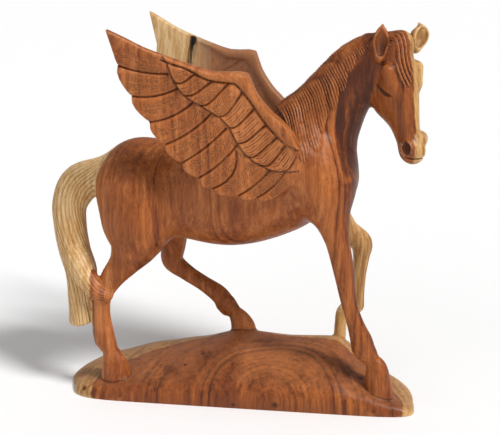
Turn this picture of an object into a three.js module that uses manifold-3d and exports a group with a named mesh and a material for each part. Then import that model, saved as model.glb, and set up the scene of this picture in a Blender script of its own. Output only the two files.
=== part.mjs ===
// A winged horse walking over a mound, carved with the mound from one block of hardwood.
// Millimetres, +Z up. The horse faces +X and its right side faces -Y.
// The origin is the centre of the base's flat underside.
//
// The figure is written as a field: a function of x, y and z that is negative inside the wood.
// The field is contoured on a fine grid, thinned to a few thousand triangles and cut flat below.
import * as THREE from "three";
import { mergeVertices } from "three/addons/utils/BufferGeometryUtils.js";
import Module from "manifold-3d";

// Driving dimensions
const BASE_LENGTH = 358;
const BASE_DEPTH = 116;
const BASE_RIM = 14;
const BASE_FRONT = 41;
const HORSE_HALF_WIDTH = 42;
const LEG_Y = 35;
const HEAD_TURN_DEG = 47;
const HEAD_TILT_DEG = 14;
const WING_ROOT = new THREE.Vector3(58, -46, 269);
const WING_SPREAD = 0.136;
const WING_LEAN = 0.087;
const LEFT_WING = { shorter: 1.12, back: 9, droop: 0.045, rise: 1 };
const PRIMARY_FEATHERS = 10;
const COVERT_FEATHERS = 9;
const MANE_LOCK = 13.2;
const TAIL_LOCKS = 9;

// Contouring
const GRID_STEP = 2.1;
const FIELD_LOW = new THREE.Vector3(-208, -94, -8);
const FIELD_HIGH = new THREE.Vector3(186, 94, 394);
const FIELD_SLACK = 1.2;
const NEAR = 12;
const SKIRT = 3;
const TRIANGLE_BUDGET = 9400;

const SIDE = new THREE.Vector3(0, 1, 0);
const { clamp, smoothstep, lerp, degToRad } = THREE.MathUtils;

// Joins, meets and cuts, with a fillet of about k
function join(a, b, k) {
  const h = Math.max(k - Math.abs(a - b), 0) / k;
  return Math.min(a, b) - (h * h * k) / 4;
}
const meet = (a, b, k) => -join(-a, -b, k);
const cut = (a, b, k) => meet(a, -b, k);

// A height along x, eased between stations of [x, height]
function profile(stations) {
  return (x) => {
    let i = 1;
    while (i < stations.length - 1 && stations[i][0] < x) i++;
    const [x0, h0] = stations[i - 1];
    const [x1, h1] = stations[i];
    const t = clamp((x - x0) / (x1 - x0), 0, 1);
    return lerp(h0, h1, (t + t * t * (3 - 2 * t)) / 2);
  };
}

// A limb: round sections strung on a smooth curve through stations of [x, y, z, radius].
// Along the direction "across" a section's half thickness is "flat" times its radius.
// The relief adds height at [share of the length, angle round the limb].
// Well away from the limb the field is the distance to a ball round it.
function limb(stations, { flat = 1, across = SIDE, steps = 3, relief = null } = {}) {
  const centres = stations.map(([x, y, z]) => new THREE.Vector3(x, y, z));
  const curve = new THREE.CatmullRomCurve3(centres, false, "centripetal");
  const radii = new THREE.SplineCurve(stations.map(([, , , r], i) => new THREE.Vector2(i, r)));
  const count = (stations.length - 1) * steps;
  const points = Array.from({ length: count + 1 }, (_, i) => {
    const { x, y, z } = curve.getPoint(i / count);
    return { x, y, z, r: radii.getPoint(i / count).y };
  });
  const segments = points.slice(1).map((b, i) => {
    const a = points[i];
    const [dx, dy, dz] = [b.x - a.x, b.y - a.y, b.z - a.z];
    return { ...a, dx, dy, dz, dr: b.r - a.r, span: dx * dx + dy * dy + dz * dz };
  });
  const round = new THREE.Sphere().setFromPoints(centres);
  const { x: cx, y: cy, z: cz } = round.center;
  const reach = round.radius + 1.1 * Math.max(...points.map((p) => p.r)) * Math.max(1, flat);
  const { x: ax, y: ay, z: az } = across;
  const stretch = 1 / flat - 1;
  const scale = Math.min(1, flat);
  const far = 24;
  return (x, y, z) => {
    const away = Math.sqrt((x - cx) * (x - cx) + (y - cy) * (y - cy) + (z - cz) * (z - cz)) - reach;
    if (away > far) return away;
    let best = Infinity;
    let share = 0;
    let angle = 0;
    for (let i = 0; i < count; i++) {
      const s = segments[i];
      let px = x - s.x;
      let py = y - s.y;
      let pz = z - s.z;
      const t = Math.min(Math.max((px * s.dx + py * s.dy + pz * s.dz) / s.span, 0), 1);
      px -= t * s.dx;
      py -= t * s.dy;
      pz -= t * s.dz;
      const side = px * ax + py * ay + pz * az;
      px += side * stretch * ax;
      py += side * stretch * ay;
      pz += side * stretch * az;
      const d = Math.sqrt(px * px + py * py + pz * pz) - s.r - t * s.dr;
      if (d < best) {
        best = d;
        if (relief) {
          const up = px * (s.dy * az - s.dz * ay) + py * (s.dz * ax - s.dx * az) + pz * (s.dx * ay - s.dy * ax);
          share = (i + t) / count;
          angle = Math.atan2(up / Math.sqrt(s.span), side / flat);
        }
      }
    }
    return (relief ? best - relief(share, angle) : best) * scale;
  };
}

// A ball, flattened like a limb
function ball(x, y, z, r, flat = 1) {
  return (px, py, pz) => {
    const side = (py - y) / flat;
    return (Math.sqrt((px - x) ** 2 + side * side + (pz - z) ** 2) - r) * Math.min(1, flat);
  };
}

// Base: a slab whose top swells into a mound, highest under the horse's left feet.
// In plan its right side is nearly straight and its left side bows out.
const BASE_CENTRE = { x: -5, y: -16 };
const CREST_Y = 22;
const MOUND_REACH = { front: 84, back: 44 };
const TOP_EDGE_ROUND = 9;
const SQUARENESS = { right: 8, left: 2.8 };
const TAPER = 0.35;
const TAPER_FROM = -10;
const crestHeight = profile([
  [-180, 12], [-140, 19], [-93, 31], [-55, 39], [-10, 51], [42, 47], [92, 49], [120, 31], [148, 11], [172, 6],
]);
function base(x, y, z) {
  const right = y < BASE_CENTRE.y;
  const halfDepth = right ? BASE_FRONT : BASE_DEPTH - BASE_FRONT;
  const power = right ? SQUARENESS.right : SQUARENESS.left;
  const slant = x < BASE_CENTRE.x ? TAPER * Math.max(TAPER_FROM - y, 0) : 0;
  const u = Math.abs(x - BASE_CENTRE.x) / (BASE_LENGTH / 2 - slant);
  const v = Math.abs(y - BASE_CENTRE.y) / halfDepth;
  const edge = ((u ** power + v ** power) ** (1 / power) - 1) * BASE_FRONT;
  const side = (y - CREST_Y) / (y < CREST_Y ? MOUND_REACH.front : MOUND_REACH.back);
  const swell = Math.max(1 - side * side, 0) ** 0.8;
  const top = BASE_RIM + (crestHeight(x) - BASE_RIM) * swell;
  return meet((z - top) * 0.8, edge, TOP_EDGE_ROUND);
}

// Trunk: rump, barrel and breast on one curve, flattened from side to side
const TRUNK_RADIUS = 49;
const trunk = limb(
  [
    [-104, 0, 213, TRUNK_RADIUS - 1],
    [-62, 0, 210, TRUNK_RADIUS],
    [-15, 0, 204, TRUNK_RADIUS],
    [30, 0, 216, TRUNK_RADIUS - 2],
    [64, 0, 232, TRUNK_RADIUS - 9],
  ],
  { flat: HORSE_HALF_WIDTH / TRUNK_RADIUS },
);
const withers = limb([[-34, 0, 238, 24], [14, 0, 256, 24], [48, 0, 272, 26]], { flat: 0.8 });
const wingPads = [-1, 1].map((s) =>
  limb([[58, s * 20, 248, 26], [20, s * 25, 240, 25], [-14, s * 25, 232, 22], [-46, s * 20, 224, 18]]),
);
const breast = [-1, 1].map((s) => ball(80, s * 17, 222, 28));

// Neck and mane. Locks fall from the crest, on both sides, along lines of one "slant": x + 0.33 z.
// They sweep forward where they leave the crest, and end in points.
const neck = limb(
  [[60, 0, 250, 43], [77, -1, 287, 35.5], [92, -5, 312, 30], [110, -9, 334, 27.5], [130, -14, 350, 23.5]],
  { flat: 0.66 },
);
const MANE_LEAN = 0.33;
const MANE_SWEEP = { width: 6, depth: 11 };
const crestHeightAt = profile([[112, 280], [138, 301], [170, 325], [199.5, 344], [228, 362], [254, 371]]);
const maneLength = profile([
  [134, 0], [139, 52], [153, 55], [168, 55], [174, 42], [193, 34], [203, 27], [211, 20], [225, 13], [240, 9],
  [252, 0],
]);
function mane(x, z) {
  const plain = x + MANE_LEAN * z;
  const below = crestHeightAt(plain) - z;
  const slant = plain + MANE_SWEEP.width * Math.exp(-Math.max(below + 4, 0) / MANE_SWEEP.depth);
  const lock = Math.abs(Math.sin((Math.PI * slant) / MANE_LOCK));
  const length = maneLength(slant) * (0.84 + 0.2 * lock);
  const cover = (1 - smoothstep(below, length - 6, length)) * smoothstep(length, 0, 8);
  return cover * (1.5 + 1.3 * Math.sqrt(lock));
}

// Legs: stations from the hip or shoulder to the fetlock, then pastern and hoof
const LEG = { flat: 0.86 };
const nearHind = [
  limb([
    [-108, -18, 213, 38], [-106, -24, 186, 37], [-107, -30, 165, 26], [-117, -34, 144, 16],
    [-132, -LEG_Y, 124, 11.5], [-142, -LEG_Y, 105, 9.4], [-144, -LEG_Y, 86, 9.2], [-142.5, -LEG_Y, 67, 10.6],
    [-140.5, -LEG_Y, 57, 10],
  ], LEG),
  limb([
    [-139, -LEG_Y, 53, 9], [-136, -LEG_Y, 46, 8.4], [-133, -LEG_Y, 37, 11], [-131.5, -LEG_Y, 28, 14],
    [-130.5, -LEG_Y, 16, 15.5],
  ], LEG),
];
const farHind = [
  limb([
    [-106, 18, 213, 37], [-94, 24, 186, 32], [-86, 30, 164, 21], [-83, 33, 140, 13.5],
    [-84, LEG_Y, 122, 11.3], [-70, LEG_Y, 109.5, 8.8], [-52, LEG_Y, 98, 8.2], [-36, LEG_Y, 87, 9.6],
    [-28, LEG_Y, 78, 9.6],
  ], LEG),
  limb([
    [-24, LEG_Y, 73, 9], [-18, LEG_Y, 66.5, 7.8], [-12.5, LEG_Y, 59, 10.3], [-9, LEG_Y, 50, 12.8],
    [-8, LEG_Y, 40, 13.5],
  ], LEG),
];
const nearFore = [
  limb([
    [60, -20, 242, 33], [76, -27, 218, 25], [86.5, -31, 196, 17.5], [93, -LEG_Y, 174, 12],
    [100, -LEG_Y, 143, 10.2], [105.4, -LEG_Y, 112, 7.8], [111.8, -LEG_Y, 91, 8.2], [119.5, -LEG_Y, 70, 10.8],
    [122.5, -LEG_Y, 61, 10.3],
  ], LEG),
  limb([
    [125, -LEG_Y, 58, 9.3], [130.5, -LEG_Y, 51, 7.8], [134.5, -LEG_Y, 43.5, 10.2], [136, -LEG_Y, 33, 12.2],
    [139, -LEG_Y, 18, 12.8],
  ], LEG),
];
const farFore = [
  limb([
    [60, 20, 242, 32], [70, 27, 212, 24], [82, 30, 186, 17], [98, 33, 164, 12],
    [113, LEG_Y, 150, 11.3], [113.5, LEG_Y, 136, 8.6], [112, LEG_Y, 118, 7.2], [111, LEG_Y, 98, 6.8],
    [110.5, LEG_Y, 82, 7.2],
  ], LEG),
  limb([
    [109, LEG_Y, 80, 7], [102, LEG_Y, 79, 7.4], [96, LEG_Y, 73.5, 6.8], [94, LEG_Y, 62, 6.2],
    [93.5, LEG_Y, 48, 6.4],
  ], LEG),
];
const legs = [nearHind, farHind, nearFore, farFore];

// Tufts of hair behind the fetlocks
const tufts = [
  limb([[118, -LEG_Y, 74, 8], [116, -LEG_Y, 62, 6.2]], LEG),
  limb([[-147, -LEG_Y, 68, 5], [-147, -LEG_Y, 56, 4.6]], LEG),
  limb([[-32, LEG_Y, 74, 6], [-28, LEG_Y, 68, 5]], LEG),
];

// Tail: it leaves the rump, arches back and falls behind the right hock, where it is cut off straight.
// One lock crosses in front of the hock.
const TAIL_END = 71;
function tailRelief(share, angle) {
  const turned = 0.5 * angle + 1.3 * share + 0.05 * Math.sin(3 * angle + 14 * share);
  const lock = Math.abs(Math.sin(TAIL_LOCKS * turned));
  return (1.2 * Math.sqrt(lock) - 0.56) * smoothstep(share, 0.01, 0.1);
}
const wholeTail = limb([
  [-128, -2, 235, 12], [-150, -4, 225, 14.5], [-169, -7, 213, 19], [-179, -10, 194, 17],
  [-179, -13, 170, 16], [-174, -18, 148, 15.5], [-167, -23, 128, 15.5], [-165.5, -26, 110, 14.5],
  [-166, -28, 94, 12.9], [-166.5, -29, 76, 12.6],
], { flat: 0.85, steps: 4, relief: tailRelief });
const tail = (x, y, z) => meet(wholeTail(x, y, z), TAIL_END + 0.3 * Math.max(x + 168, 0) - z, 3);
const tailLock = limb([[-170, -26, 143, 12], [-158, -35, 125, 10.5], [-146, -41, 112, 8.5], [-135, -42, 108, 5]]);

// Wings: a rounded arm, a row of coverts over a row of primaries, and a plain inner face.
// They are written for the right wing; the left one is its mirror image.
const wingY = (x, z) => WING_ROOT.y - WING_SPREAD * (WING_ROOT.x - x) - WING_LEAN * (z - WING_ROOT.z);
const flatCurve = (points) => new THREE.SplineCurve(points.map(([x, z]) => new THREE.Vector2(x, z)));

// A feather in the wing's plane: 0 along its shaft, 1 at its edge
function feather(shaft, widths) {
  const points = new THREE.SplineCurve(shaft).getPoints(6);
  const halfWidth = (share) => lerp(widths[0], widths[1], share);
  return (x, z) => {
    let across = Infinity;
    for (let i = 0; i < 6; i++) {
      const dx = points[i + 1].x - points[i].x;
      const dz = points[i + 1].y - points[i].y;
      const ex = x - points[i].x;
      const ez = z - points[i].y;
      const t = Math.min(Math.max((ex * dx + ez * dz) / (dx * dx + dz * dz), 0), 1);
      const px = ex - t * dx;
      const pz = ez - t * dz;
      across = Math.min(across, Math.sqrt(px * px + pz * pz) / halfWidth((i + t) / 6));
    }
    return across;
  };
}

// A row of feathers from a line of roots to a line of tips, a little wider than their spacing
const OVERLAP = 0.6;
function featherRow(roots, tips, count, sag) {
  const shafts = Array.from({ length: count }, (_, i) => {
    const root = roots.getPointAt(i / (count - 1));
    const tip = tips.getPointAt(i / (count - 1));
    const bend = new THREE.Vector2(root.y - tip.y, tip.x - root.x).multiplyScalar(sag);
    return [root, root.clone().lerp(tip, 0.5).add(bend), tip];
  });
  return shafts.map((shaft, i) => {
    const next = shafts[i < count - 1 ? i + 1 : i - 1];
    const widths = [shaft[0].distanceTo(next[0]), shaft[2].distanceTo(next[2])];
    return feather(shaft, widths.map((w) => w * OVERLAP));
  });
}
const primaries = featherRow(
  flatCurve([[-62, 346], [-49, 320], [-18, 294], [7, 259], [46, 245]]),
  flatCurve([[-99, 356], [-88, 312], [-55, 270], [-23, 238], [5, 228], [38, 229]]),
  PRIMARY_FEATHERS,
  0.1,
);
const wingTip = feather(
  [[-90, 349], [-105, 361], [-116.5, 379]].map(([x, z]) => new THREE.Vector2(x, z)),
  [14, 1.5],
);
const coverts = featherRow(
  flatCurve([[-46, 342], [-18, 330], [3, 317], [30, 280], [50, 265]]),
  flatCurve([[-55, 344], [-42, 328], [-17, 308], [2, 283], [15, 265], [46, 254]]),
  COVERT_FEATHERS,
  0.1,
);
const onWing = ([x, z, r]) => [x, wingY(x, z), z, r];
const arm = limb([
  [48, 262, 13], [40, 281, 11.5], [22, 303, 10], [6, 325, 10], [-6, 330, 8.5], [-24, 335, 7.5], [-52, 345, 5.5],
  [-84, 358, 4], [-100, 366, 3],
].map(onWing), { flat: 0.8 });
const WING_BALL = { x: -28, y: -58, z: 296, r: 128 };
const BLADE_REACH = 14;
const FEATHER_WIDTH = 9;
const PRIMARY_HEIGHT = 4.6;
const COVERT_LIFT = 2.6;
const COVERT_HEIGHT = 4;
const INNER_HEIGHT = 3.2;
function wing(x, y, z) {
  const away = Math.hypot(x - WING_BALL.x, y - WING_BALL.y, z - WING_BALL.z) - WING_BALL.r;
  if (away > NEAR) return away;
  const outward = 0.98 * (wingY(x, z) - y);
  if (Math.abs(outward) > 3 * BLADE_REACH) return Math.abs(outward) - BLADE_REACH;
  let across = wingTip(x, z);
  for (const shape of primaries) across = Math.min(across, shape(x, z));
  let outer = PRIMARY_HEIGHT * Math.sqrt(Math.max(1 - across * across, 0));
  let covert = Infinity;
  for (const shape of coverts) covert = Math.min(covert, shape(x, z));
  if (covert < 1) outer = Math.max(outer, COVERT_LIFT + COVERT_HEIGHT * Math.sqrt(1 - covert * covert));
  across = Math.min(across, covert);
  const inner = INNER_HEIGHT * Math.sqrt(Math.max(1 - across ** 6, 0));
  const beside = FEATHER_WIDTH * (across - 1);
  const blade = across < 1 ? Math.max(outward - outer, -outward - inner) : Math.hypot(outward, beside);
  return join(blade, arm(x, y, z), 1.5);
}

// The left wing is carved a little shorter than the right one, and its tip hangs lower
function leftWing(x, y, z) {
  const { shorter, back, droop, rise } = LEFT_WING;
  return wing(x * shorter + back, -y, z - droop * x - rise);
}

// Head: forward is out of the forehead, left is the horse's left, down runs from poll to muzzle
const POLL = new THREE.Vector3(144, -20, 355);
const turn = degToRad(HEAD_TURN_DEG);
const tilt = degToRad(HEAD_TILT_DEG);
const FACING = new THREE.Vector3(Math.cos(turn), -Math.sin(turn), 0);
const LEFT = new THREE.Vector3(Math.sin(turn), Math.cos(turn), 0);
const FORWARD = FACING.clone().multiplyScalar(Math.cos(tilt)).setZ(Math.sin(tilt));
const DOWN = FACING.clone().multiplyScalar(Math.sin(tilt)).setZ(-Math.cos(tilt));
const pair = (make) => [-1, 1].map(make);
const skull = limb([
  [-3, 0, -1, 17], [-4.5, 0, 20, 18.5], [-2.5, 0, 38, 17.3], [-1, 0, 54, 14.5], [1, 0, 73, 11.2],
  [2, 0, 88, 10.2],
], { flat: 0.92 });
const jaw = limb([
  [-18, 0, 19, 18], [-20, 0, 35, 22], [-15.5, 0, 52, 15], [-10, 0, 64, 11], [-6, 0, 76, 8.8], [-1, 0, 90, 7],
], { flat: 0.75 });
const topknot = ball(1, 5, -9, 11);
const muzzle = ball(4, 0, 93, 11, 0.9);
const brows = pair((s) => limb([[3.5, s * 17.5, 16, 6.5], [3.5, s * 15.5, 30, 5.8]]));
const sockets = pair((s) => ball(3, s * 23.5, 45, 9));
const eyes = pair((s) => limb([[-12, s * 12, 24, 4], [-4, s * 13.5, 30, 5.8], [2.5, s * 12.5, 35, 4.2]]));
const slits = pair((s) => limb([[-12.5, s * 17.5, 28, 1.2], [-5, s * 19, 35, 2.3], [1.5, s * 18, 40, 1.4]]));
const NOSE_SKEW = -3.1;
const nostrils = pair((s) => ball(7.5, s * 10.5, 85 + s * NOSE_SKEW, 6.6));
const nostrilHoles = pair((s) => {
  const stations = [[9.5, s * 14, 80, 2.2], [11, s * 14, 85, 3.7], [10, s * 13, 90, 2.4]];
  return limb(stations.map(([f, l, d, r]) => [f, l, d + s * NOSE_SKEW, r]));
});
const mouth = limb(
  [[-2, -9, 94, 1.1], [7.5, -8, 98, 1.3], [12.5, 0, 100, 1.3], [7.5, 8, 98, 1.3], [-2, 9, 94, 1.1]],
);
const nearEar = limb([
  [-3.5, -19.5, 2, 5.8], [-1, -17.5, -12, 7.8], [1.5, -17.3, -19.5, 5.2], [3.5, -17, -26, 1.3],
]);
const nearCup = limb([[2, -22, -2, 3.8], [3.6, -21.3, -12, 5.8], [6, -21, -22, 3]]);
const farEar = limb([[3, 19.5, -3, 6.2], [4.5, 24, -11, 8.8], [4.5, 28, -15.5, 7], [4.5, 27, -24, 1.3]]);
const farCup = limb([[8.5, 20, -5, 3.4], [10, 23.5, -11, 6.4], [10, 27, -17, 4]]);
const ears = [[nearEar, nearCup], [farEar, farCup]];
const forelock = limb(
  [[10, -8, -12, 4], [10.5, -9, 4, 3.4], [10.5, -8, 18, 3], [11, -5.5, 29, 1.5]],
  { flat: 2.4 },
);
const HEAD_BALL = { down: 40, r: 80 };
function head(x, y, z) {
  const px = x - POLL.x;
  const py = y - POLL.y;
  const pz = z - POLL.z;
  const f = px * FORWARD.x + py * FORWARD.y + pz * FORWARD.z;
  const l = px * LEFT.x + py * LEFT.y;
  const d = px * DOWN.x + py * DOWN.y + pz * DOWN.z;
  const away = Math.hypot(f, l, d - HEAD_BALL.down) - HEAD_BALL.r;
  if (away > NEAR) return away;
  let h = join(skull(f, l, d), jaw(f, l, d), 9);
  h = join(h, muzzle(f, l, d), 8);
  h = join(h, topknot(f, l, d), 6);
  for (const brow of brows) h = join(h, brow(f, l, d), 6);
  for (const socket of sockets) h = cut(h, socket(f, l, d), 5);
  for (const eye of eyes) h = join(h, eye(f, l, d), 6);
  for (const slit of slits) h = cut(h, slit(f, l, d), 1.2);
  for (const nostril of nostrils) h = join(h, nostril(f, l, d), 4);
  for (const hole of nostrilHoles) h = cut(h, hole(f, l, d), 1.5);
  h = cut(h, mouth(f, l, d), 1.5);
  h = join(h, forelock(f, l, d), 2);
  for (const [ear, cup] of ears) h = join(h, cut(ear(f, l, d), cup(f, l, d), 1.5), 2);
  return h;
}

// The whole horse and base
function figure(x, y, z) {
  let d = join(trunk(x, y, z), withers(x, y, z), 18);
  for (const pad of wingPads) d = join(d, pad(x, y, z), 14);
  for (const part of breast) d = join(d, part(x, y, z), 14);
  const n = neck(x, y, z);
  d = join(d, n < NEAR ? n - mane(x, z) : n, 16);
  d = join(d, head(x, y, z), 8);
  for (const [upper, hoof] of legs) {
    d = join(d, upper(x, y, z), 12);
    d = join(d, hoof(x, y, z), 3);
  }
  for (const tuft of tufts) d = join(d, tuft(x, y, z), 3);
  d = join(d, tail(x, y, z), 5);
  d = join(d, tailLock(x, y, z), 4);
  d = join(d, wing(x, y, z), 4);
  d = join(d, leftWing(x, y, z), 4);
  d = join(d, base(x, y, z), 3);
  return Math.max(d, -SKIRT - z);
}

// Samples the field on a grid. A block that the surface can't reach is filled with one value.
function sample(field) {
  const size = FIELD_HIGH.clone().sub(FIELD_LOW).divideScalar(GRID_STEP);
  const [nx, ny, nz] = [size.x, size.y, size.z].map((n) => Math.ceil(n) + 1);
  const values = new Float32Array(nx * ny * nz);
  const at = (i, j, k) => (k * ny + j) * nx + i;
  const place = (low, i) => low + i * GRID_STEP;
  const topBlock = 32;
  const smallBlock = 4;
  function fill(i0, j0, k0, cells) {
    const half = (cells - 1) / 2;
    const { x, y, z } = FIELD_LOW;
    const middle = field(place(x, i0 + half), place(y, j0 + half), place(z, k0 + half));
    const reach = (half * Math.sqrt(3) + 1.8) * GRID_STEP * FIELD_SLACK;
    if (Math.abs(middle) > reach || cells === smallBlock) {
      const flat = Math.abs(middle) > reach;
      for (let k = k0; k < Math.min(k0 + cells, nz); k++) {
        for (let j = j0; j < Math.min(j0 + cells, ny); j++) {
          for (let i = i0; i < Math.min(i0 + cells, nx); i++) {
            values[at(i, j, k)] = flat ? middle : field(place(x, i), place(y, j), place(z, k));
          }
        }
      }
      return;
    }
    const step = cells / 2;
    for (const k of [k0, k0 + step]) {
      for (const j of [j0, j0 + step]) {
        for (const i of [i0, i0 + step]) {
          if (i < nx && j < ny && k < nz) fill(i, j, k, step);
        }
      }
    }
  }
  for (let k = 0; k < nz; k += topBlock) {
    for (let j = 0; j < ny; j += topBlock) {
      for (let i = 0; i < nx; i += topBlock) fill(i, j, k, topBlock);
    }
  }
  return { values, nx, ny, nz, at };
}

// Each grid cell is six tetrahedra round its main diagonal, from corner 0 to corner 7.
// A corner's number is x + 2y + 4z.
const TETRAHEDRA = [
  [0, 1, 3, 7], [0, 3, 2, 7], [0, 2, 6, 7], [0, 6, 4, 7], [0, 4, 5, 7], [0, 5, 1, 7],
];

// Contours the samples into a closed mesh, facing outward: {positions, triangles}
function contour({ values, nx, ny, nz, at }) {
  const positions = [];
  const triangles = [];
  const made = new Map();
  const total = nx * ny * nz;
  const point = (node) => {
    const i = node % nx;
    const j = Math.floor(node / nx) % ny;
    const k = Math.floor(node / (nx * ny));
    return [i, j, k].map((n, axis) => FIELD_LOW.getComponent(axis) + n * GRID_STEP);
  };
  const crossing = (a, b) => {
    const key = Math.min(a, b) * total + Math.max(a, b);
    if (!made.has(key)) {
      const t = clamp(values[a] / (values[a] - values[b]), 0.03, 0.97);
      const p = point(a);
      const q = point(b);
      made.set(key, positions.length / 3);
      positions.push(lerp(p[0], q[0], t), lerp(p[1], q[1], t), lerp(p[2], q[2], t));
    }
    return made.get(key);
  };
  const corners = new Array(8);
  function cutCell(i, j, k) {
    let inside = 0;
    for (let c = 0; c < 8; c++) {
      corners[c] = at(i + (c & 1), j + ((c >> 1) & 1), k + (c >> 2));
      if (values[corners[c]] < 0) inside++;
    }
    if (inside === 0 || inside === 8) return;
    for (const tetra of TETRAHEDRA) cutTetra(tetra.map((c) => corners[c]));
  }
  for (let k = 0; k < nz - 1; k++) {
    for (let j = 0; j < ny - 1; j++) {
      for (let i = 0; i < nx - 1; i++) cutCell(i, j, k);
    }
  }
  function cutTetra(nodes) {
    const low = nodes.filter((n) => values[n] < 0);
    if (low.length === 0 || low.length === 4) return;
    // The tetrahedra all wind the same way, so an odd reordering of the corners flips the face
    const high = nodes.filter((n) => values[n] >= 0);
    const odd = parity([...low, ...high].map((n) => nodes.indexOf(n)));
    const ring =
      low.length === 2
        ? [[low[0], high[0]], [low[0], high[1]], [low[1], high[1]], [low[1], high[0]]]
        : low.length === 1
          ? high.map((h) => [low[0], h])
          : low.map((l) => [l, high[0]]);
    const face = ring.map(([a, b]) => crossing(a, b));
    if (odd) face.reverse();
    for (let n = 2; n < face.length; n++) triangles.push(face[0], face[n - 1], face[n]);
  }
  return { positions, triangles };
}

function parity(order) {
  let swaps = 0;
  for (let i = 0; i < order.length; i++) {
    for (let j = i + 1; j < order.length; j++) {
      if (order[i] > order[j]) swaps++;
    }
  }
  return swaps % 2 === 1;
}

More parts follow.
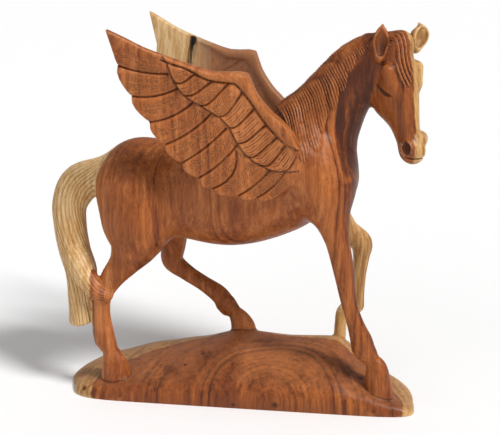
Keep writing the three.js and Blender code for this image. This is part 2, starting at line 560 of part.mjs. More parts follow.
// Thins a closed mesh by collapsing the edge that moves the surface least, until the budget is met.
// Each vertex keeps a quadric: the summed squared distance to the planes of its first triangles.
// A merged vertex is pulled a little to its edge's middle, and long edges cost a little more.
const MIDDLE_PULL = 2e-3;
const LENGTH_COST = 1e-4;
const LEAST_FACING = 0.3;
function thin({ positions, triangles }, budget) {
  const place = Float64Array.from(positions);
  const corner = Int32Array.from(triangles);
  const vertexCount = place.length / 3;
  const quadric = new Float64Array(vertexCount * 10);
  const version = new Int32Array(vertexCount);
  const fans = Array.from({ length: vertexCount }, () => []);
  const normal = new Float64Array(3);
  const setNormal = (a, b, c) => {
    const [ux, uy, uz] = [place[b] - place[a], place[b + 1] - place[a + 1], place[b + 2] - place[a + 2]];
    const [vx, vy, vz] = [place[c] - place[a], place[c + 1] - place[a + 1], place[c + 2] - place[a + 2]];
    normal[0] = uy * vz - uz * vy;
    normal[1] = uz * vx - ux * vz;
    normal[2] = ux * vy - uy * vx;
    return Math.sqrt(normal[0] * normal[0] + normal[1] * normal[1] + normal[2] * normal[2]);
  };
  for (let t = 0; t < corner.length; t += 3) {
    const [a, b, c] = [corner[t], corner[t + 1], corner[t + 2]];
    const area = setNormal(3 * a, 3 * b, 3 * c) || 1e-12;
    const [x, y, z] = normal.map((n) => n / area);
    const w = -(x * place[3 * a] + y * place[3 * a + 1] + z * place[3 * a + 2]);
    const terms = [x * x, x * y, x * z, x * w, y * y, y * z, y * w, z * z, z * w, w * w];
    for (const v of [a, b, c]) {
      fans[v].push(t);
      for (let n = 0; n < 10; n++) quadric[10 * v + n] += terms[n] * area;
    }
  }

  // The best place for the merged vertex of edge a-b, and its cost
  const spot = { x: 0, y: 0, z: 0, cost: 0 };
  const q = new Float64Array(10);
  function solve(a, b) {
    for (let n = 0; n < 10; n++) q[n] = quadric[10 * a + n] + quadric[10 * b + n];
    const mx = (place[3 * a] + place[3 * b]) / 2;
    const my = (place[3 * a + 1] + place[3 * b + 1]) / 2;
    const mz = (place[3 * a + 2] + place[3 * b + 2]) / 2;
    const pull = MIDDLE_PULL * (q[0] + q[4] + q[7]);
    const [xx, yy, zz] = [q[0] + pull, q[4] + pull, q[7] + pull];
    const [xy, xz, yz] = [q[1], q[2], q[5]];
    const [rx, ry, rz] = [pull * mx - q[3], pull * my - q[6], pull * mz - q[8]];
    const cx = yy * zz - yz * yz;
    const cy = xz * yz - xy * zz;
    const cz = xy * yz - xz * yy;
    const det = xx * cx + xy * cy + xz * cz;
    const dy = xx * zz - xz * xz;
    const dz = xy * xz - xx * yz;
    const ez = xx * yy - xy * xy;
    spot.x = (cx * rx + cy * ry + cz * rz) / det;
    spot.y = (cy * rx + dy * ry + dz * rz) / det;
    spot.z = (cz * rx + dz * ry + ez * rz) / det;
    const { x, y, z } = spot;
    const flat = x * (q[0] * x + 2 * (q[1] * y + q[2] * z + q[3])) + y * (q[4] * y + 2 * (q[5] * z + q[6]));
    spot.cost = flat + z * (q[7] * z + 2 * q[8]) + q[9];
    const lengthSquared = (place[3 * a] - place[3 * b]) ** 2 + (place[3 * a + 1] - place[3 * b + 1]) ** 2
      + (place[3 * a + 2] - place[3 * b + 2]) ** 2;
    spot.cost += LENGTH_COST * lengthSquared;
  }

  const heap = new Heap();
  const offer = (a, b) => {
    solve(a, b);
    heap.push({ cost: spot.cost, a, b, stamp: version[a] + version[b] });
  };
  for (let t = 0; t < corner.length; t += 3) {
    for (const [m, n] of [[0, 1], [1, 2], [2, 0]]) {
      if (corner[t + m] < corner[t + n]) offer(corner[t + m], corner[t + n]);
    }
  }

  const around = (v) => {
    const ring = new Set();
    for (const t of fans[v]) {
      for (let n = 0; n < 3; n++) ring.add(corner[t + n]);
    }
    ring.delete(v);
    return ring;
  };
  // Whether a triangle of v that doesn't hold "other" would turn over with v moved to the spot
  function flips(v, other, { x, y, z }) {
    for (const t of fans[v]) {
      const [a, b, c] = [corner[t], corner[t + 1], corner[t + 2]];
      if (a === other || b === other || c === other) continue;
      const before = setNormal(3 * a, 3 * b, 3 * c);
      const [nx, ny, nz] = normal;
      const saved = [place[3 * v], place[3 * v + 1], place[3 * v + 2]];
      place.set([x, y, z], 3 * v);
      const after = setNormal(3 * a, 3 * b, 3 * c);
      place.set(saved, 3 * v);
      const same = nx * normal[0] + ny * normal[1] + nz * normal[2];
      if (same < LEAST_FACING * before * after || after < 1e-6) return true;
    }
    return false;
  }
  let left = corner.length / 3;
  while (left > budget && heap.size > 0) {
    const { a, b, stamp } = heap.pop();
    if (fans[a].length === 0 || fans[b].length === 0 || version[a] + version[b] !== stamp) continue;
    const ringA = around(a);
    if (!ringA.has(b)) continue;
    const ringB = around(b);
    let shared = 0;
    for (const v of ringA) {
      if (ringB.has(v)) shared++;
    }
    if (shared !== 2) continue;
    solve(a, b);
    const target = { x: spot.x, y: spot.y, z: spot.z };
    if (flips(a, b, target) || flips(b, a, target)) continue;
    place.set([target.x, target.y, target.z], 3 * a);
    for (let n = 0; n < 10; n++) quadric[10 * a + n] += quadric[10 * b + n];
    for (const t of fans[b]) {
      const corners = [corner[t], corner[t + 1], corner[t + 2]];
      if (corners.includes(a)) {
        for (const v of corners) {
          if (v !== b) fans[v].splice(fans[v].indexOf(t), 1);
        }
        corner.fill(-1, t, t + 3);
        left--;
      } else {
        corner[t + corners.indexOf(b)] = a;
        fans[a].push(t);
      }
    }
    fans[b] = [];
    version[a]++;
    for (const v of around(a)) offer(Math.min(a, v), Math.max(a, v));
  }
  return { positions: place, triangles: corner.filter((v) => v >= 0) };
}

// A heap of {cost, ...}, cheapest first
class Heap {
  constructor() {
    this.items = [];
  }
  get size() {
    return this.items.length;
  }
  push(item) {
    const { items } = this;
    let i = items.length;
    items.push(item);
    while (i > 0) {
      const up = (i - 1) >> 1;
      if (items[up].cost <= item.cost) break;
      items[i] = items[up];
      i = up;
    }
    items[i] = item;
  }
  pop() {
    const { items } = this;
    const first = items[0];
    const item = items.pop();
    const size = items.length;
    if (size === 0) return first;
    let i = 0;
    for (let down = 1; down < size; down = 2 * i + 1) {
      if (down + 1 < size && items[down + 1].cost < items[down].cost) down++;
      if (items[down].cost >= item.cost) break;
      items[i] = items[down];
      i = down;
    }
    items[i] = item;
    return first;
  }
}

// The carving as one solid with a flat underside
const wasm = await Module();
wasm.setup();
function solid(positions, triangles) {
  const slot = new Map();
  const vertProperties = [];
  const triVerts = Array.from(triangles, (v) => {
    if (!slot.has(v)) {
      slot.set(v, slot.size);
      vertProperties.push(positions[3 * v], positions[3 * v + 1], positions[3 * v + 2]);
    }
    return slot.get(v);
  });
  const arrays = { vertProperties: Float32Array.from(vertProperties), triVerts: Uint32Array.from(triVerts) };
  return new wasm.Manifold(new wasm.Mesh({ numProp: 3, ...arrays }));
}
function ground() {
  const box = new THREE.BoxGeometry(2 * BASE_LENGTH, 2 * BASE_DEPTH, 10 * SKIRT).translate(0, 0, -5 * SKIRT);
  box.deleteAttribute("normal");
  box.deleteAttribute("uv");
  const merged = mergeVertices(box);
  return solid(merged.attributes.position.array, merged.index.array);
}

const thinned = thin(contour(sample(figure)), TRIANGLE_BUDGET);
const carved = solid(thinned.positions, thinned.triangles).subtract(ground()).getMesh();
const geometry = new THREE.BufferGeometry();
geometry.setAttribute("position", new THREE.BufferAttribute(Float32Array.from(carved.vertProperties), 3));
geometry.setIndex(Array.from(carved.triVerts));
geometry.computeVertexNormals();

const heartwood = new THREE.MeshStandardMaterial({ color: 0xa9633a, roughness: 0.42, metalness: 0 });
const horse = new THREE.Mesh(geometry, heartwood);
horse.name = "winged_horse";
const group = new THREE.Group();
group.add(horse);

export default group;
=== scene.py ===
"""The looks of a winged horse, carved with the mound it walks on from one block of hardwood.

The carving is one mesh. It starts as a copy of the solid, remeshed finely, and its vertices are then
drawn onto a field: a function of x, y and z that is negative in the wood and zero on its skin, with
the carver's cuts in it. Lengths are in millimetres until the mesh is written.
"""

import math
from concurrent.futures import ThreadPoolExecutor
from itertools import pairwise

import bpy
import numpy as np
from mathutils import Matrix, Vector
from mathutils.kdtree import KDTree


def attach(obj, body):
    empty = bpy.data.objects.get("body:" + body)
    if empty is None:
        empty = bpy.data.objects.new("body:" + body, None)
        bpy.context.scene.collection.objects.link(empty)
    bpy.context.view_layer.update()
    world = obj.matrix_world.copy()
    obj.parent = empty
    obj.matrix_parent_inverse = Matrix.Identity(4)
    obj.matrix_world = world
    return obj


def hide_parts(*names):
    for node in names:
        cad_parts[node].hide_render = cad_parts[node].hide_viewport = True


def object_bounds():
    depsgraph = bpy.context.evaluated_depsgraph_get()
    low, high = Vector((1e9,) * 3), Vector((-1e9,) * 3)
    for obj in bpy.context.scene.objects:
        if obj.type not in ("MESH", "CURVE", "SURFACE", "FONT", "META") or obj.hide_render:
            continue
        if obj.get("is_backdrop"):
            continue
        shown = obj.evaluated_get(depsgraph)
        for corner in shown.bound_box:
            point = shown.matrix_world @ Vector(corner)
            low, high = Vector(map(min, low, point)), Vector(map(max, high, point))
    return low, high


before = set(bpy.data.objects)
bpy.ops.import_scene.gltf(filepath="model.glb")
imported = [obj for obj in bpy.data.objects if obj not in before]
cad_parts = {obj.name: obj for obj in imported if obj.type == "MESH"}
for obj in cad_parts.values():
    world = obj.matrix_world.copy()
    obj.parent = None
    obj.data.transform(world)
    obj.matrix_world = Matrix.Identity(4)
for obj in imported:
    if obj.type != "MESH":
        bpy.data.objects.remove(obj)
cad_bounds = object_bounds()

MM = 0.001
NODE = "winged_horse"
PIECE = "carved_horse"

# Meshing: the first mesh's faces, how many faces are kept, and how vertices are drawn onto the skin
VOXEL = 1.25
FACE_BUDGET = 190000
DRAW_ROUNDS = 4
FINE_DRAW_ROUNDS = 2
DRAW_LIMIT = 1.6
RELAX_SHARE = 0.4
CLOSE = 0.35
SLOPE_STEP = 0.2
PARTS = 8
HOLLOW_ROUNDS = 5
FINE_EDGE = 0.65

# Driving sizes of the carving
HORSE_HALF_WIDTH = 42.0
LEG_Y = 35.0
BASE_LENGTH = 358.0
BASE_DEPTH = 116.0
BASE_RIM = 14.0
HEAD_TURN = math.radians(47)
HEAD_TILT = math.radians(14)
WING_ROOT = np.array([58.0, -46.0, 269.0])
WING_SPREAD = 0.136
WING_LEAN = 0.087
LEFT_SHORTER = 1.12
LEFT_BACK = 9.0
LEFT_DROOP = 0.045
LEFT_RISE = 1.0


# Joins, meets and cuts of fields, with a fillet of about k

def join(a, b, k):
    h = np.maximum(k - np.abs(a - b), 0) / k
    return np.minimum(a, b) - h * h * k / 4


def meet(a, b, k):
    return -join(-a, -b, k)


def cut(a, b, k):
    return meet(a, -b, k)


def smoothstep(x, low, high):
    t = np.clip((x - low) / (high - low), 0, 1)
    return t * t * (3 - 2 * t)


def lerp(a, b, t):
    return a + (b - a) * t


# Curves

def between(a, b, slope_a, slope_b, t):
    """Values that ease from a to b as t goes from 0 to 1, with these slopes at the ends."""
    return a + (b - a) * t * t * (3 - 2 * t) + t * (1 - t) * ((1 - t) * slope_a - t * slope_b)


def smooth_curve(points, steps, power=0.5):
    """A Catmull-Rom curve through the points, with that many steps from each to the next."""
    points = np.asarray(points, float)
    ends = [2 * points[0] - points[1]], [2 * points[-1] - points[-2]]
    padded = np.concatenate([ends[0], points, ends[1]])
    t = (np.arange(steps) / steps)[:, None]
    curve = []
    for p0, p1, p2, p3 in zip(padded, padded[1:], padded[2:], padded[3:]):
        gaps = [max(np.linalg.norm(b - a), 1e-9) ** power for a, b in ((p0, p1), (p1, p2), (p2, p3))]
        m1 = ((p1 - p0) / gaps[0] - (p2 - p0) / (gaps[0] + gaps[1]) + (p2 - p1) / gaps[1]) * gaps[1]
        m2 = ((p2 - p1) / gaps[1] - (p3 - p1) / (gaps[1] + gaps[2]) + (p3 - p2) / gaps[2]) * gaps[1]
        curve.append(between(p1, p2, m1, m2, t))
    return np.concatenate(curve + [points[-1:]])


def smooth_values(values, steps):
    """Values eased the same way, level at both ends."""
    v = np.pad(np.asarray(values, float), 1, mode="edge")
    t = np.arange(steps) / steps
    out = []
    for v0, v1, v2, v3 in zip(v, v[1:], v[2:], v[3:]):
        out.append(between(v1, v2, (v2 - v0) / 2, (v3 - v1) / 2, t))
    return np.concatenate(out + [v[-2:-1]])


def profile(stations):
    """A height along x, eased between stations of (x, height)."""
    xs, heights = np.array(stations, float).T

    def height(x):
        i = np.clip(np.searchsorted(xs, x) - 1, 0, len(xs) - 2)
        t = np.clip((x - xs[i]) / (xs[i + 1] - xs[i]), 0, 1)
        return lerp(heights[i], heights[i + 1], (t + t * t * (3 - 2 * t)) / 2)

    return height


def beside_pieces(u, v, line):
    """For each piece of a flat polyline: points (u, v) from its start, its run, and the share along it."""
    for (u0, v0), (u1, v1) in pairwise(line):
        du, dv = u1 - u0, v1 - v0
        eu, ev = u - u0, v - v0
        yield eu, ev, du, dv, np.clip((eu * du + ev * dv) / (du * du + dv * dv), 0, 1)


def gap_to(u, v, lines):
    """The distance from points (u, v) to the nearest of some flat polylines."""
    best = np.full(len(u), np.inf)
    for line in lines:
        for eu, ev, du, dv, t in beside_pieces(u, v, line):
            eu -= t * du
            ev -= t * dv
            np.minimum(best, eu * eu + ev * ev, out=best)
    return np.sqrt(best)


def line_distance(u, v, line):
    """From points (u, v) to a flat polyline: the distance, its signed side and the share along it."""
    best = np.full(len(u), np.inf)
    side = np.zeros(len(u))
    share = np.zeros(len(u))
    for i, (eu, ev, du, dv, t) in enumerate(beside_pieces(u, v, line)):
        d = np.hypot(eu - t * du, ev - t * dv)
        nearer = d < best
        best[nearer] = d[nearer]
        side[nearer] = (eu * dv - ev * du)[nearer] / math.hypot(du, dv)
        share[nearer] = (i + t[nearer]) / (len(line) - 1)
    return best, side, share


# Noise: smooth random values on a lattice that repeats every 32 cells

LATTICE = np.random.default_rng(7).uniform(-1, 1, (32, 32, 32))


def noise(p, size):
    q = p / size
    cell = np.floor(q).astype(int)
    f = q - cell
    f = f * f * (3 - 2 * f)
    total = np.zeros(len(p))
    for corner in range(8):
        offset = np.array([corner & 1, (corner >> 1) & 1, corner >> 2])
        weight = np.prod(np.where(offset, f, 1 - f), axis=1)
        i, j, k = ((cell + offset) % 32).T
        total += weight * LATTICE[i, j, k]
    return total


# Forms: fields with a ball round them, outside which they add nothing

class Form:
    centre = np.zeros(3)
    reach = 1e9

    def near(self, p, margin=0.0):
        """The numbers of the points in the form's ball."""
        return np.flatnonzero(((p - self.centre) ** 2).sum(axis=1) < (self.reach + margin) ** 2)

    def add_to(self, d, p, k):
        near = self.near(p, k + 2)
        if len(near):
            d[near] = join(d[near], self.distance(p[near]), k)


class Limb(Form):
    """Round sections strung on a smooth curve through stations of (x, y, z, radius).

    Along y a section's half thickness is "flat" times its radius.
    The relief adds height at (share of the length, angle round the limb).
    """

    def __init__(self, stations, flat=1.0, steps=3, relief=None):
        stations = np.asarray(stations, float)
        self.points = smooth_curve(stations[:, :3], steps)
        self.radii = smooth_values(stations[:, 3], steps)
        self.flat = flat
        self.relief = relief
        self.centre = (self.points.min(axis=0) + self.points.max(axis=0)) / 2
        far = np.linalg.norm(self.points - self.centre, axis=1)
        self.reach = (far + 1.1 * self.radii * max(1, flat)).max()

    def place(self, p, placed=True):
        """The distance before any relief, the nearest piece of the curve and the share along it."""
        x, y, z = np.ascontiguousarray(p.T)
        best = np.full(len(p), np.inf)
        piece = np.zeros(len(p), int)
        along = np.zeros(len(p))
        for i in range(len(self.points) - 1):
            ax, ay, az = self.points[i]
            dx, dy, dz = self.points[i + 1] - self.points[i]
            ex, ey, ez = x - ax, y - ay, z - az
            t = np.clip((ex * dx + ey * dy + ez * dz) / (dx * dx + dy * dy + dz * dz), 0, 1)
            ex -= t * dx
            ey -= t * dy
            ey /= self.flat
            ez -= t * dz
            d = np.sqrt(ex * ex + ey * ey + ez * ez)
            d -= lerp(self.radii[i], self.radii[i + 1], t)
            if placed:
                nearer = np.flatnonzero(d < best)
                piece[nearer] = i
                along[nearer] = t[nearer]
            np.minimum(best, d, out=best)
        return best, piece, along

    def around(self, p, piece, along):
        """The share of the whole length and the angle round the limb."""
        start = self.points[piece]
        step = self.points[piece + 1] - start
        rel = p - start - along[:, None] * step
        up = np.cross(step, (0, 1, 0))
        up /= np.linalg.norm(up, axis=1)[:, None]
        angle = np.arctan2((rel * up).sum(axis=1), rel[:, 1] / self.flat)
        return (piece + along) / (len(self.points) - 1), angle

    def distance(self, p):
        best, piece, along = self.place(p, placed=self.relief is not None)
        if self.relief:
            best = best - self.relief(*self.around(p, piece, along))
        return best * min(1, self.flat)


class Ball(Form):
    def __init__(self, x, y, z, r, flat=1.0):
        self.centre = np.array([x, y, z], float)
        self.reach = r * max(1, flat)
        self.r, self.flat = r, flat

    def distance(self, p):
        rel = (p - self.centre) / (1, self.flat, 1)
        return (np.sqrt((rel * rel).sum(axis=1)) - self.r) * min(1, self.flat)


# Base: a slab whose top swells into a mound, highest under the horse's left feet

BASE_X = -5.0
BASE_Y = -16.0
BASE_FRONT = 41.0
FRONT_SQUARENESS = 8.0
BACK_SQUARENESS = 2.8
# The right corner at the tail is cut off aslant
SLANT = 0.35
SLANT_START_Y = -10.0
CREST_Y = 22.0
SWELL_FRONT = 84.0
SWELL_BACK = 44.0
SWELL_FULLNESS = 0.8
# Turns a height over the sloping top into a distance
SLOPE_SHARE = 0.8
RIM_ROUNDING = 9.0
crest_height = profile([
    (-180, 12), (-140, 19), (-93, 31), (-55, 39), (-10, 51), (42, 47), (92, 49), (120, 31), (148, 11),
    (172, 6),
])


class Base(Form):
    def distance(self, p):
        x, y, z = p.T
        right = y < BASE_Y
        half_depth = np.where(right, BASE_FRONT, BASE_DEPTH - BASE_FRONT)
        power = np.where(right, FRONT_SQUARENESS, BACK_SQUARENESS)
        slant = np.where(x < BASE_X, SLANT * np.maximum(SLANT_START_Y - y, 0), 0)
        u = np.abs(x - BASE_X) / (BASE_LENGTH / 2 - slant)
        v = np.abs(y - BASE_Y) / half_depth
        edge = ((u ** power + v ** power) ** (1 / power) - 1) * BASE_FRONT
        side = (y - CREST_Y) / np.where(y < CREST_Y, SWELL_FRONT, SWELL_BACK)
        swell = np.maximum(1 - side * side, 0) ** SWELL_FULLNESS
        top = BASE_RIM + (crest_height(x) - BASE_RIM) * swell
        return meet((z - top) * SLOPE_SHARE, edge, RIM_ROUNDING)


# Trunk, withers, the pads that carry the wings, and the breast

TRUNK_RADIUS = 49.0
trunk = Limb(
    [
        (-104, 0, 213, TRUNK_RADIUS - 1), (-62, 0, 210, TRUNK_RADIUS), (-15, 0, 204, TRUNK_RADIUS),
        (30, 0, 216, TRUNK_RADIUS - 2), (64, 0, 232, TRUNK_RADIUS - 9),
    ],
    flat=HORSE_HALF_WIDTH / TRUNK_RADIUS,
    steps=8,
)
withers = Limb([(-34, 0, 238, 24), (14, 0, 256, 24), (48, 0, 272, 26)], flat=0.8, steps=6)
wing_pads = [
    Limb([
        (58, s * 20, 248, 26), (20, s * 25, 240, 25), (-14, s * 25, 232, 22), (-46, s * 20, 224, 18),
    ], steps=6)
    for s in (-1, 1)
]
breast = [Ball(80, s * 17, 222, 28) for s in (-1, 1)]


# Neck and mane: strands fall from the crest along lines of one "slant", which is x + 0.33 z

MANE_LEAN = 0.33
CREST_SLANTS = (112, 138, 170, 199.5, 228, 254)
CREST_HEIGHTS = (280, 301, 325, 344, 362, 371)
MANE_SLANTS = (134, 139, 153, 168, 174, 193, 203, 211, 225, 240, 252)
MANE_LENGTHS = (0, 52, 55, 55, 42, 34, 27, 20, 13, 9, 0)
MANE_BACK = 30
MANE_FOOT = 235
STRAND = 2.8
LOCK = 5 * STRAND
LOCK_RELIEF = 1.1
CREST_RELIEF = 0.25
HAIR_BED = 1.0
STRAND_RISE = 0.9
MANE_SWEEP = 6.0
MANE_SWEEP_DEPTH = 11.0


def may_be_maned(p):
    return (p[:, 0] > MANE_BACK) & (p[:, 2] > MANE_FOOT)


def on_mane(p):
    """The strands' slant, how far below the crest, and how long the mane is there."""
    plain = p[:, 0] + MANE_LEAN * p[:, 2]
    below = np.interp(plain, CREST_SLANTS, CREST_HEIGHTS) - p[:, 2]
    comb = MANE_SWEEP * np.exp(-np.maximum(below + 4, 0) / MANE_SWEEP_DEPTH)
    slant = plain + comb + 1.5 * noise(p, 19)
    length = np.interp(slant, MANE_SLANTS, MANE_LENGTHS)
    point = np.abs(np.sin(np.pi * slant / LOCK))
    return slant + 0.9 * noise(p, 13), below, length * (0.84 + 0.2 * point)


def mane_height(p):
    """Rounded strands, five to a lock, that end in points. They are shallow on the crest."""
    slant, below, length = on_mane(p)
    cover = 1 - smoothstep(below, length - 6, length)
    cover *= smoothstep(length, 0, 8)
    fine = 0.9 + 0.5 * noise(p, 9)
    strand = np.sin(np.pi * slant / STRAND) ** 2
    lock = np.sqrt(np.abs(np.sin(np.pi * slant / LOCK)))
    carved = lerp(CREST_RELIEF, 1.0, smoothstep(below, 0, 6))
    relief = carved * (fine * (strand - 0.5) + LOCK_RELIEF * (lock - 0.5))
    return cover * (HAIR_BED + relief + STRAND_RISE)


neck = Limb(
    [(60, 0, 250, 43), (77, -1, 287, 35.5), (92, -5, 312, 30), (110, -9, 334, 27.5), (130, -14, 350, 23.5)],
    flat=0.66,
    steps=6,
)


# Legs: from the hip or shoulder to the fetlock, then pastern and hoof

LEG_FLAT = 0.86


def leg(side, splay, upper, hoof):
    """A leg from stations of (x, z, radius), which stands LEG_Y beside the middle below its splay."""
    ys = splay + (LEG_Y,) * (len(upper) - len(splay))
    upper = [(x, side * y, z, r) for (x, z, r), y in zip(upper, ys)]
    hoof = [(x, side * LEG_Y, z, r) for x, z, r in hoof]
    return Limb(upper, LEG_FLAT, 6), Limb(hoof, LEG_FLAT, 6)


near_hind = leg(-1, (18, 24, 30, 34), [
    (-108, 213, 38), (-106, 186, 37), (-107, 165, 26), (-117, 144, 16), (-132, 124, 11.5),
    (-142, 105, 9.4), (-144, 86, 9.2), (-142.5, 67, 10.6), (-140.5, 57, 10),
], [(-139, 53, 9), (-136, 46, 8.4), (-133, 37, 11), (-131.5, 28, 14), (-130.5, 16, 15.5)])
far_hind = leg(1, (18, 24, 30, 33), [
    (-106, 213, 37), (-94, 186, 32), (-86, 164, 21), (-83, 140, 13.5), (-84, 122, 11.3),
    (-70, 109.5, 8.8), (-52, 98, 8.2), (-36, 87, 9.6), (-28, 78, 9.6),
], [(-24, 73, 9), (-18, 66.5, 7.8), (-12.5, 59, 10.3), (-9, 50, 12.8), (-8, 40, 13.5)])
near_fore = leg(-1, (20, 27, 31), [
    (60, 242, 33), (76, 218, 25), (86.5, 196, 17.5), (93, 174, 12), (100, 143, 10.2),
    (105.4, 112, 7.8), (111.8, 91, 8.2), (119.5, 70, 10.8), (122.5, 61, 10.3),
], [(125, 58, 9.3), (130.5, 51, 7.8), (134.5, 43.5, 10.2), (136, 33, 12.2), (139, 18, 12.8)])
far_fore = leg(1, (20, 27, 30, 33), [
    (60, 242, 32), (70, 212, 24), (82, 186, 17), (98, 164, 12), (113, 150, 11.3),
    (113.5, 136, 8.6), (112, 118, 7.2), (111, 98, 6.8), (110.5, 82, 7.2),
], [(109, 80, 7), (102, 79, 7.4), (96, 73.5, 6.8), (94, 62, 6.2), (93.5, 48, 6.4)])
# Tufts behind the fetlocks
tufts = [
    Limb([(118, -LEG_Y, 74, 8), (116, -LEG_Y, 62, 6.2)], LEG_FLAT),
    Limb([(-147, -LEG_Y, 68, 5), (-147, -LEG_Y, 56, 4.6)], LEG_FLAT),
    Limb([(-32, LEG_Y, 74, 6), (-28, LEG_Y, 68, 5)], LEG_FLAT),
]
shanks, hooves = zip(near_hind, far_hind, near_fore, far_fore)


# Tail: it leaves the rump, arches back and falls against the right hock

TAIL_STRANDS = 27
TAIL_END = 71.0


def tail_turn(share, angle):
    return 0.5 * angle + 1.3 * share + 0.05 * np.sin(3 * angle + 14 * share)


def tail_relief(share, angle):
    """Strands three to a lock, which swing a little round the tail on their way down."""
    turn = tail_turn(share, angle)
    strand = np.sqrt(np.abs(np.sin(TAIL_STRANDS * turn)))
    lock = np.sqrt(np.abs(np.sin(TAIL_STRANDS / 3 * turn)))
    return (1.1 * strand + 1.2 * lock - 1.4) * smoothstep(share, 0.01, 0.1)


def lock_relief(share, angle):
    return 0.9 * np.sqrt(np.abs(np.sin(8 * angle + 2 * share))) - 0.5


class Tail(Limb):
    """The tail, cut off straight at its lower end."""

    def distance(self, p):
        end = TAIL_END + 0.3 * np.maximum(p[:, 0] + 168, 0)
        return meet(super().distance(p), end - p[:, 2], 3)


tail = Tail(
    [
        (-128, -2, 235, 12), (-150, -4, 225, 14.5), (-169, -7, 213, 19), (-179, -10, 194, 17),
        (-179, -13, 170, 16), (-174, -18, 148, 15.5), (-167, -23, 128, 15.5), (-165.5, -26, 110, 14.5),
        (-166, -28, 94, 12.9), (-166.5, -29, 76, 12.6),
    ],
    flat=0.85,
    steps=8,
    relief=tail_relief,
)
tail_lock = Limb(
    [(-170, -26, 143, 12), (-158, -35, 125, 10.5), (-146, -41, 112, 8.5), (-135, -42, 108, 5)],
    steps=8,
    relief=lock_relief,
)


# Wings, written for the right one in its own plane: u is x, v is z and "out" is the height off it

WING_TOP = [
    (-117, 380), (-99, 371), (-86, 364), (-66, 356), (-41, 347), (-20, 341), (9, 339.5), (12, 334),
    (18, 320), (31, 303), (41, 294), (51, 282), (57, 266), (54, 250), (53, 239), (47, 230), (41, 223),
    (31, 217),
]
# Notches between the primaries on the wing's trailing edge, from its root to its tip
NOTCHES = [
    (31, 217), (17, 218.5), (-1, 220), (-26, 227), (-38, 238), (-53, 253), (-68, 271), (-81, 293),
    (-97, 318), (-108, 347), (-117, 380),
]
LOBE = 3.6
# Where each primary's lower edge meets the coverts, and how far the edge sags on its way there
PRIMARY_ROOTS = [
    (43, 244), (30, 247), (-2, 265), (-1, 271), (-11, 287), (-23, 303), (-41, 312), (-53, 326),
    (-62, 339),
]
PRIMARY_SAGS = [2.4, 2.0, 9.0, 2.8, 2.2, 3.5, 3.8, 4.0, 2.6]
COVERT_LINE = smooth_curve([
    (-67, 356), (-62, 347), (-57, 333), (-48, 319), (-33, 309), (-15, 297), (-7, 287), (-1, 274),
    (7, 262), (18, 253), (30, 247), (42, 245), (56, 246),
], 3, power=0)
ARM_LINE = smooth_curve([
    (-68, 352), (-57, 347.5), (-45, 344), (-26, 334), (-7, 331), (0, 329), (12, 314),
    (27, 291), (43, 274), (57, 266),
], 3, power=0)
COVERT_EDGES = [
    [(-57, 331), (-49, 331), (-37, 340)],
    [(-49, 319), (-39, 320), (-22, 333)],
    [(-34, 309), (-25, 312), (-8, 330)],
    [(-16, 299), (-9, 302), (5, 322)],
    [(-8, 288), (0, 290), (16, 307)],
    [(-1, 273), (8, 275), (26, 291)],
    [(8, 260), (17, 261), (36, 279)],
    [(19, 252), (29, 252), (45, 272)],
    [(40, 245), (47, 248), (54, 260)],
]
PRIMARY_HEIGHT = 4.2
COVERT_HEIGHT = 6.6
INNER_HEIGHT = 3.2
ARM_ROLL = 4.5
ARM_TIP = -72.0
# Grooves as depth and width, and the rise from them to a feather's middle as height and width
FEATHER_GROOVE = (1.9, 0.9)
COVERT_GROOVE = (1.1, 0.8)
ARM_GROOVE = (2.0, 0.9)
PRIMARY_RISE = (1.4, 6.0)
COVERT_RISE = (1.3, 4.5)
STEP = 0.8
# The wings lie behind this x and outside this y
WINGS_FRONT = 62
WINGS_INSIDE = 40
# The wing's slab is well within this height of its plane, whose slope shortens distances in y
SLAB = 14.0
PLANE_COSINE = 0.98


def lobed_edge():
    """The trailing edge: from each notch to the next it bulges, most just past the upper one."""
    t = np.linspace(0, 1, 6)[:, None]
    edge = []
    for (u0, v0), (u1, v1) in pairwise(NOTCHES):
        out = np.array([v0 - v1, u1 - u0]) / math.hypot(u1 - u0, v1 - v0)
        swell = 0 if (u1, v1) == NOTCHES[-1] else LOBE * np.sin(np.pi * (1 - (1 - t) ** 0.75))
        edge.append((lerp(np.array([u0, v0]), np.array([u1, v1]), t) + out * swell)[:-1])
    return np.concatenate(edge)


def sagging(start, end, sag):
    """An arc from start to end that hangs below the straight line by sag."""
    start, end = np.array(start, float), np.array(end, float)
    t = np.linspace(0, 1, 7)[:, None]
    down = np.array([end[1] - start[1], start[0] - end[0]]) / np.linalg.norm(end - start)
    return lerp(start, end, t) + down * sag * 4 * t * (1 - t)


PRIMARY_EDGES = [sagging(n, r, s) for n, r, s in zip(NOTCHES[1:-1], PRIMARY_ROOTS, PRIMARY_SAGS)]
COVERT_CURVES = [smooth_curve(edge, 4, power=0) for edge in COVERT_EDGES]
WING_OUTLINE = np.concatenate([smooth_curve(WING_TOP, 3)[:-1], lobed_edge()])


def midway(first, second):
    """A feather's shaft, midway between its two edges, from its root to its tip."""
    return ((first + second) / 2)[::-1][:: 2]


# Chevrons are cut along the shafts of the primaries and upper coverts, straight strokes on the others
BARB_GAP = 2.9
BARB_DEPTH = 0.95
BARB_WIDTH = 0.65
BARB_REACH = 8.5
STROKE_GAP = 2.5
CHEVRON_SHAFTS = [midway(a, b) for a, b in pairwise(PRIMARY_EDGES)]
CHEVRON_SHAFTS += [midway(a[::-1], b[::-1]) for a, b in pairwise(COVERT_CURVES[:4])]
CHEVRON_SHAFTS += [
    np.array([(-66, 345), (-84, 349), (-106, 360)]),
    np.array([(46, 238), (36, 230), (24, 222)]),
    np.array([(-40, 342), (-51, 339), (-58, 338)]),
]
STROKE_SHAFTS = [midway(a[::-1], b[::-1]) for a, b in pairwise(COVERT_CURVES[3:])]


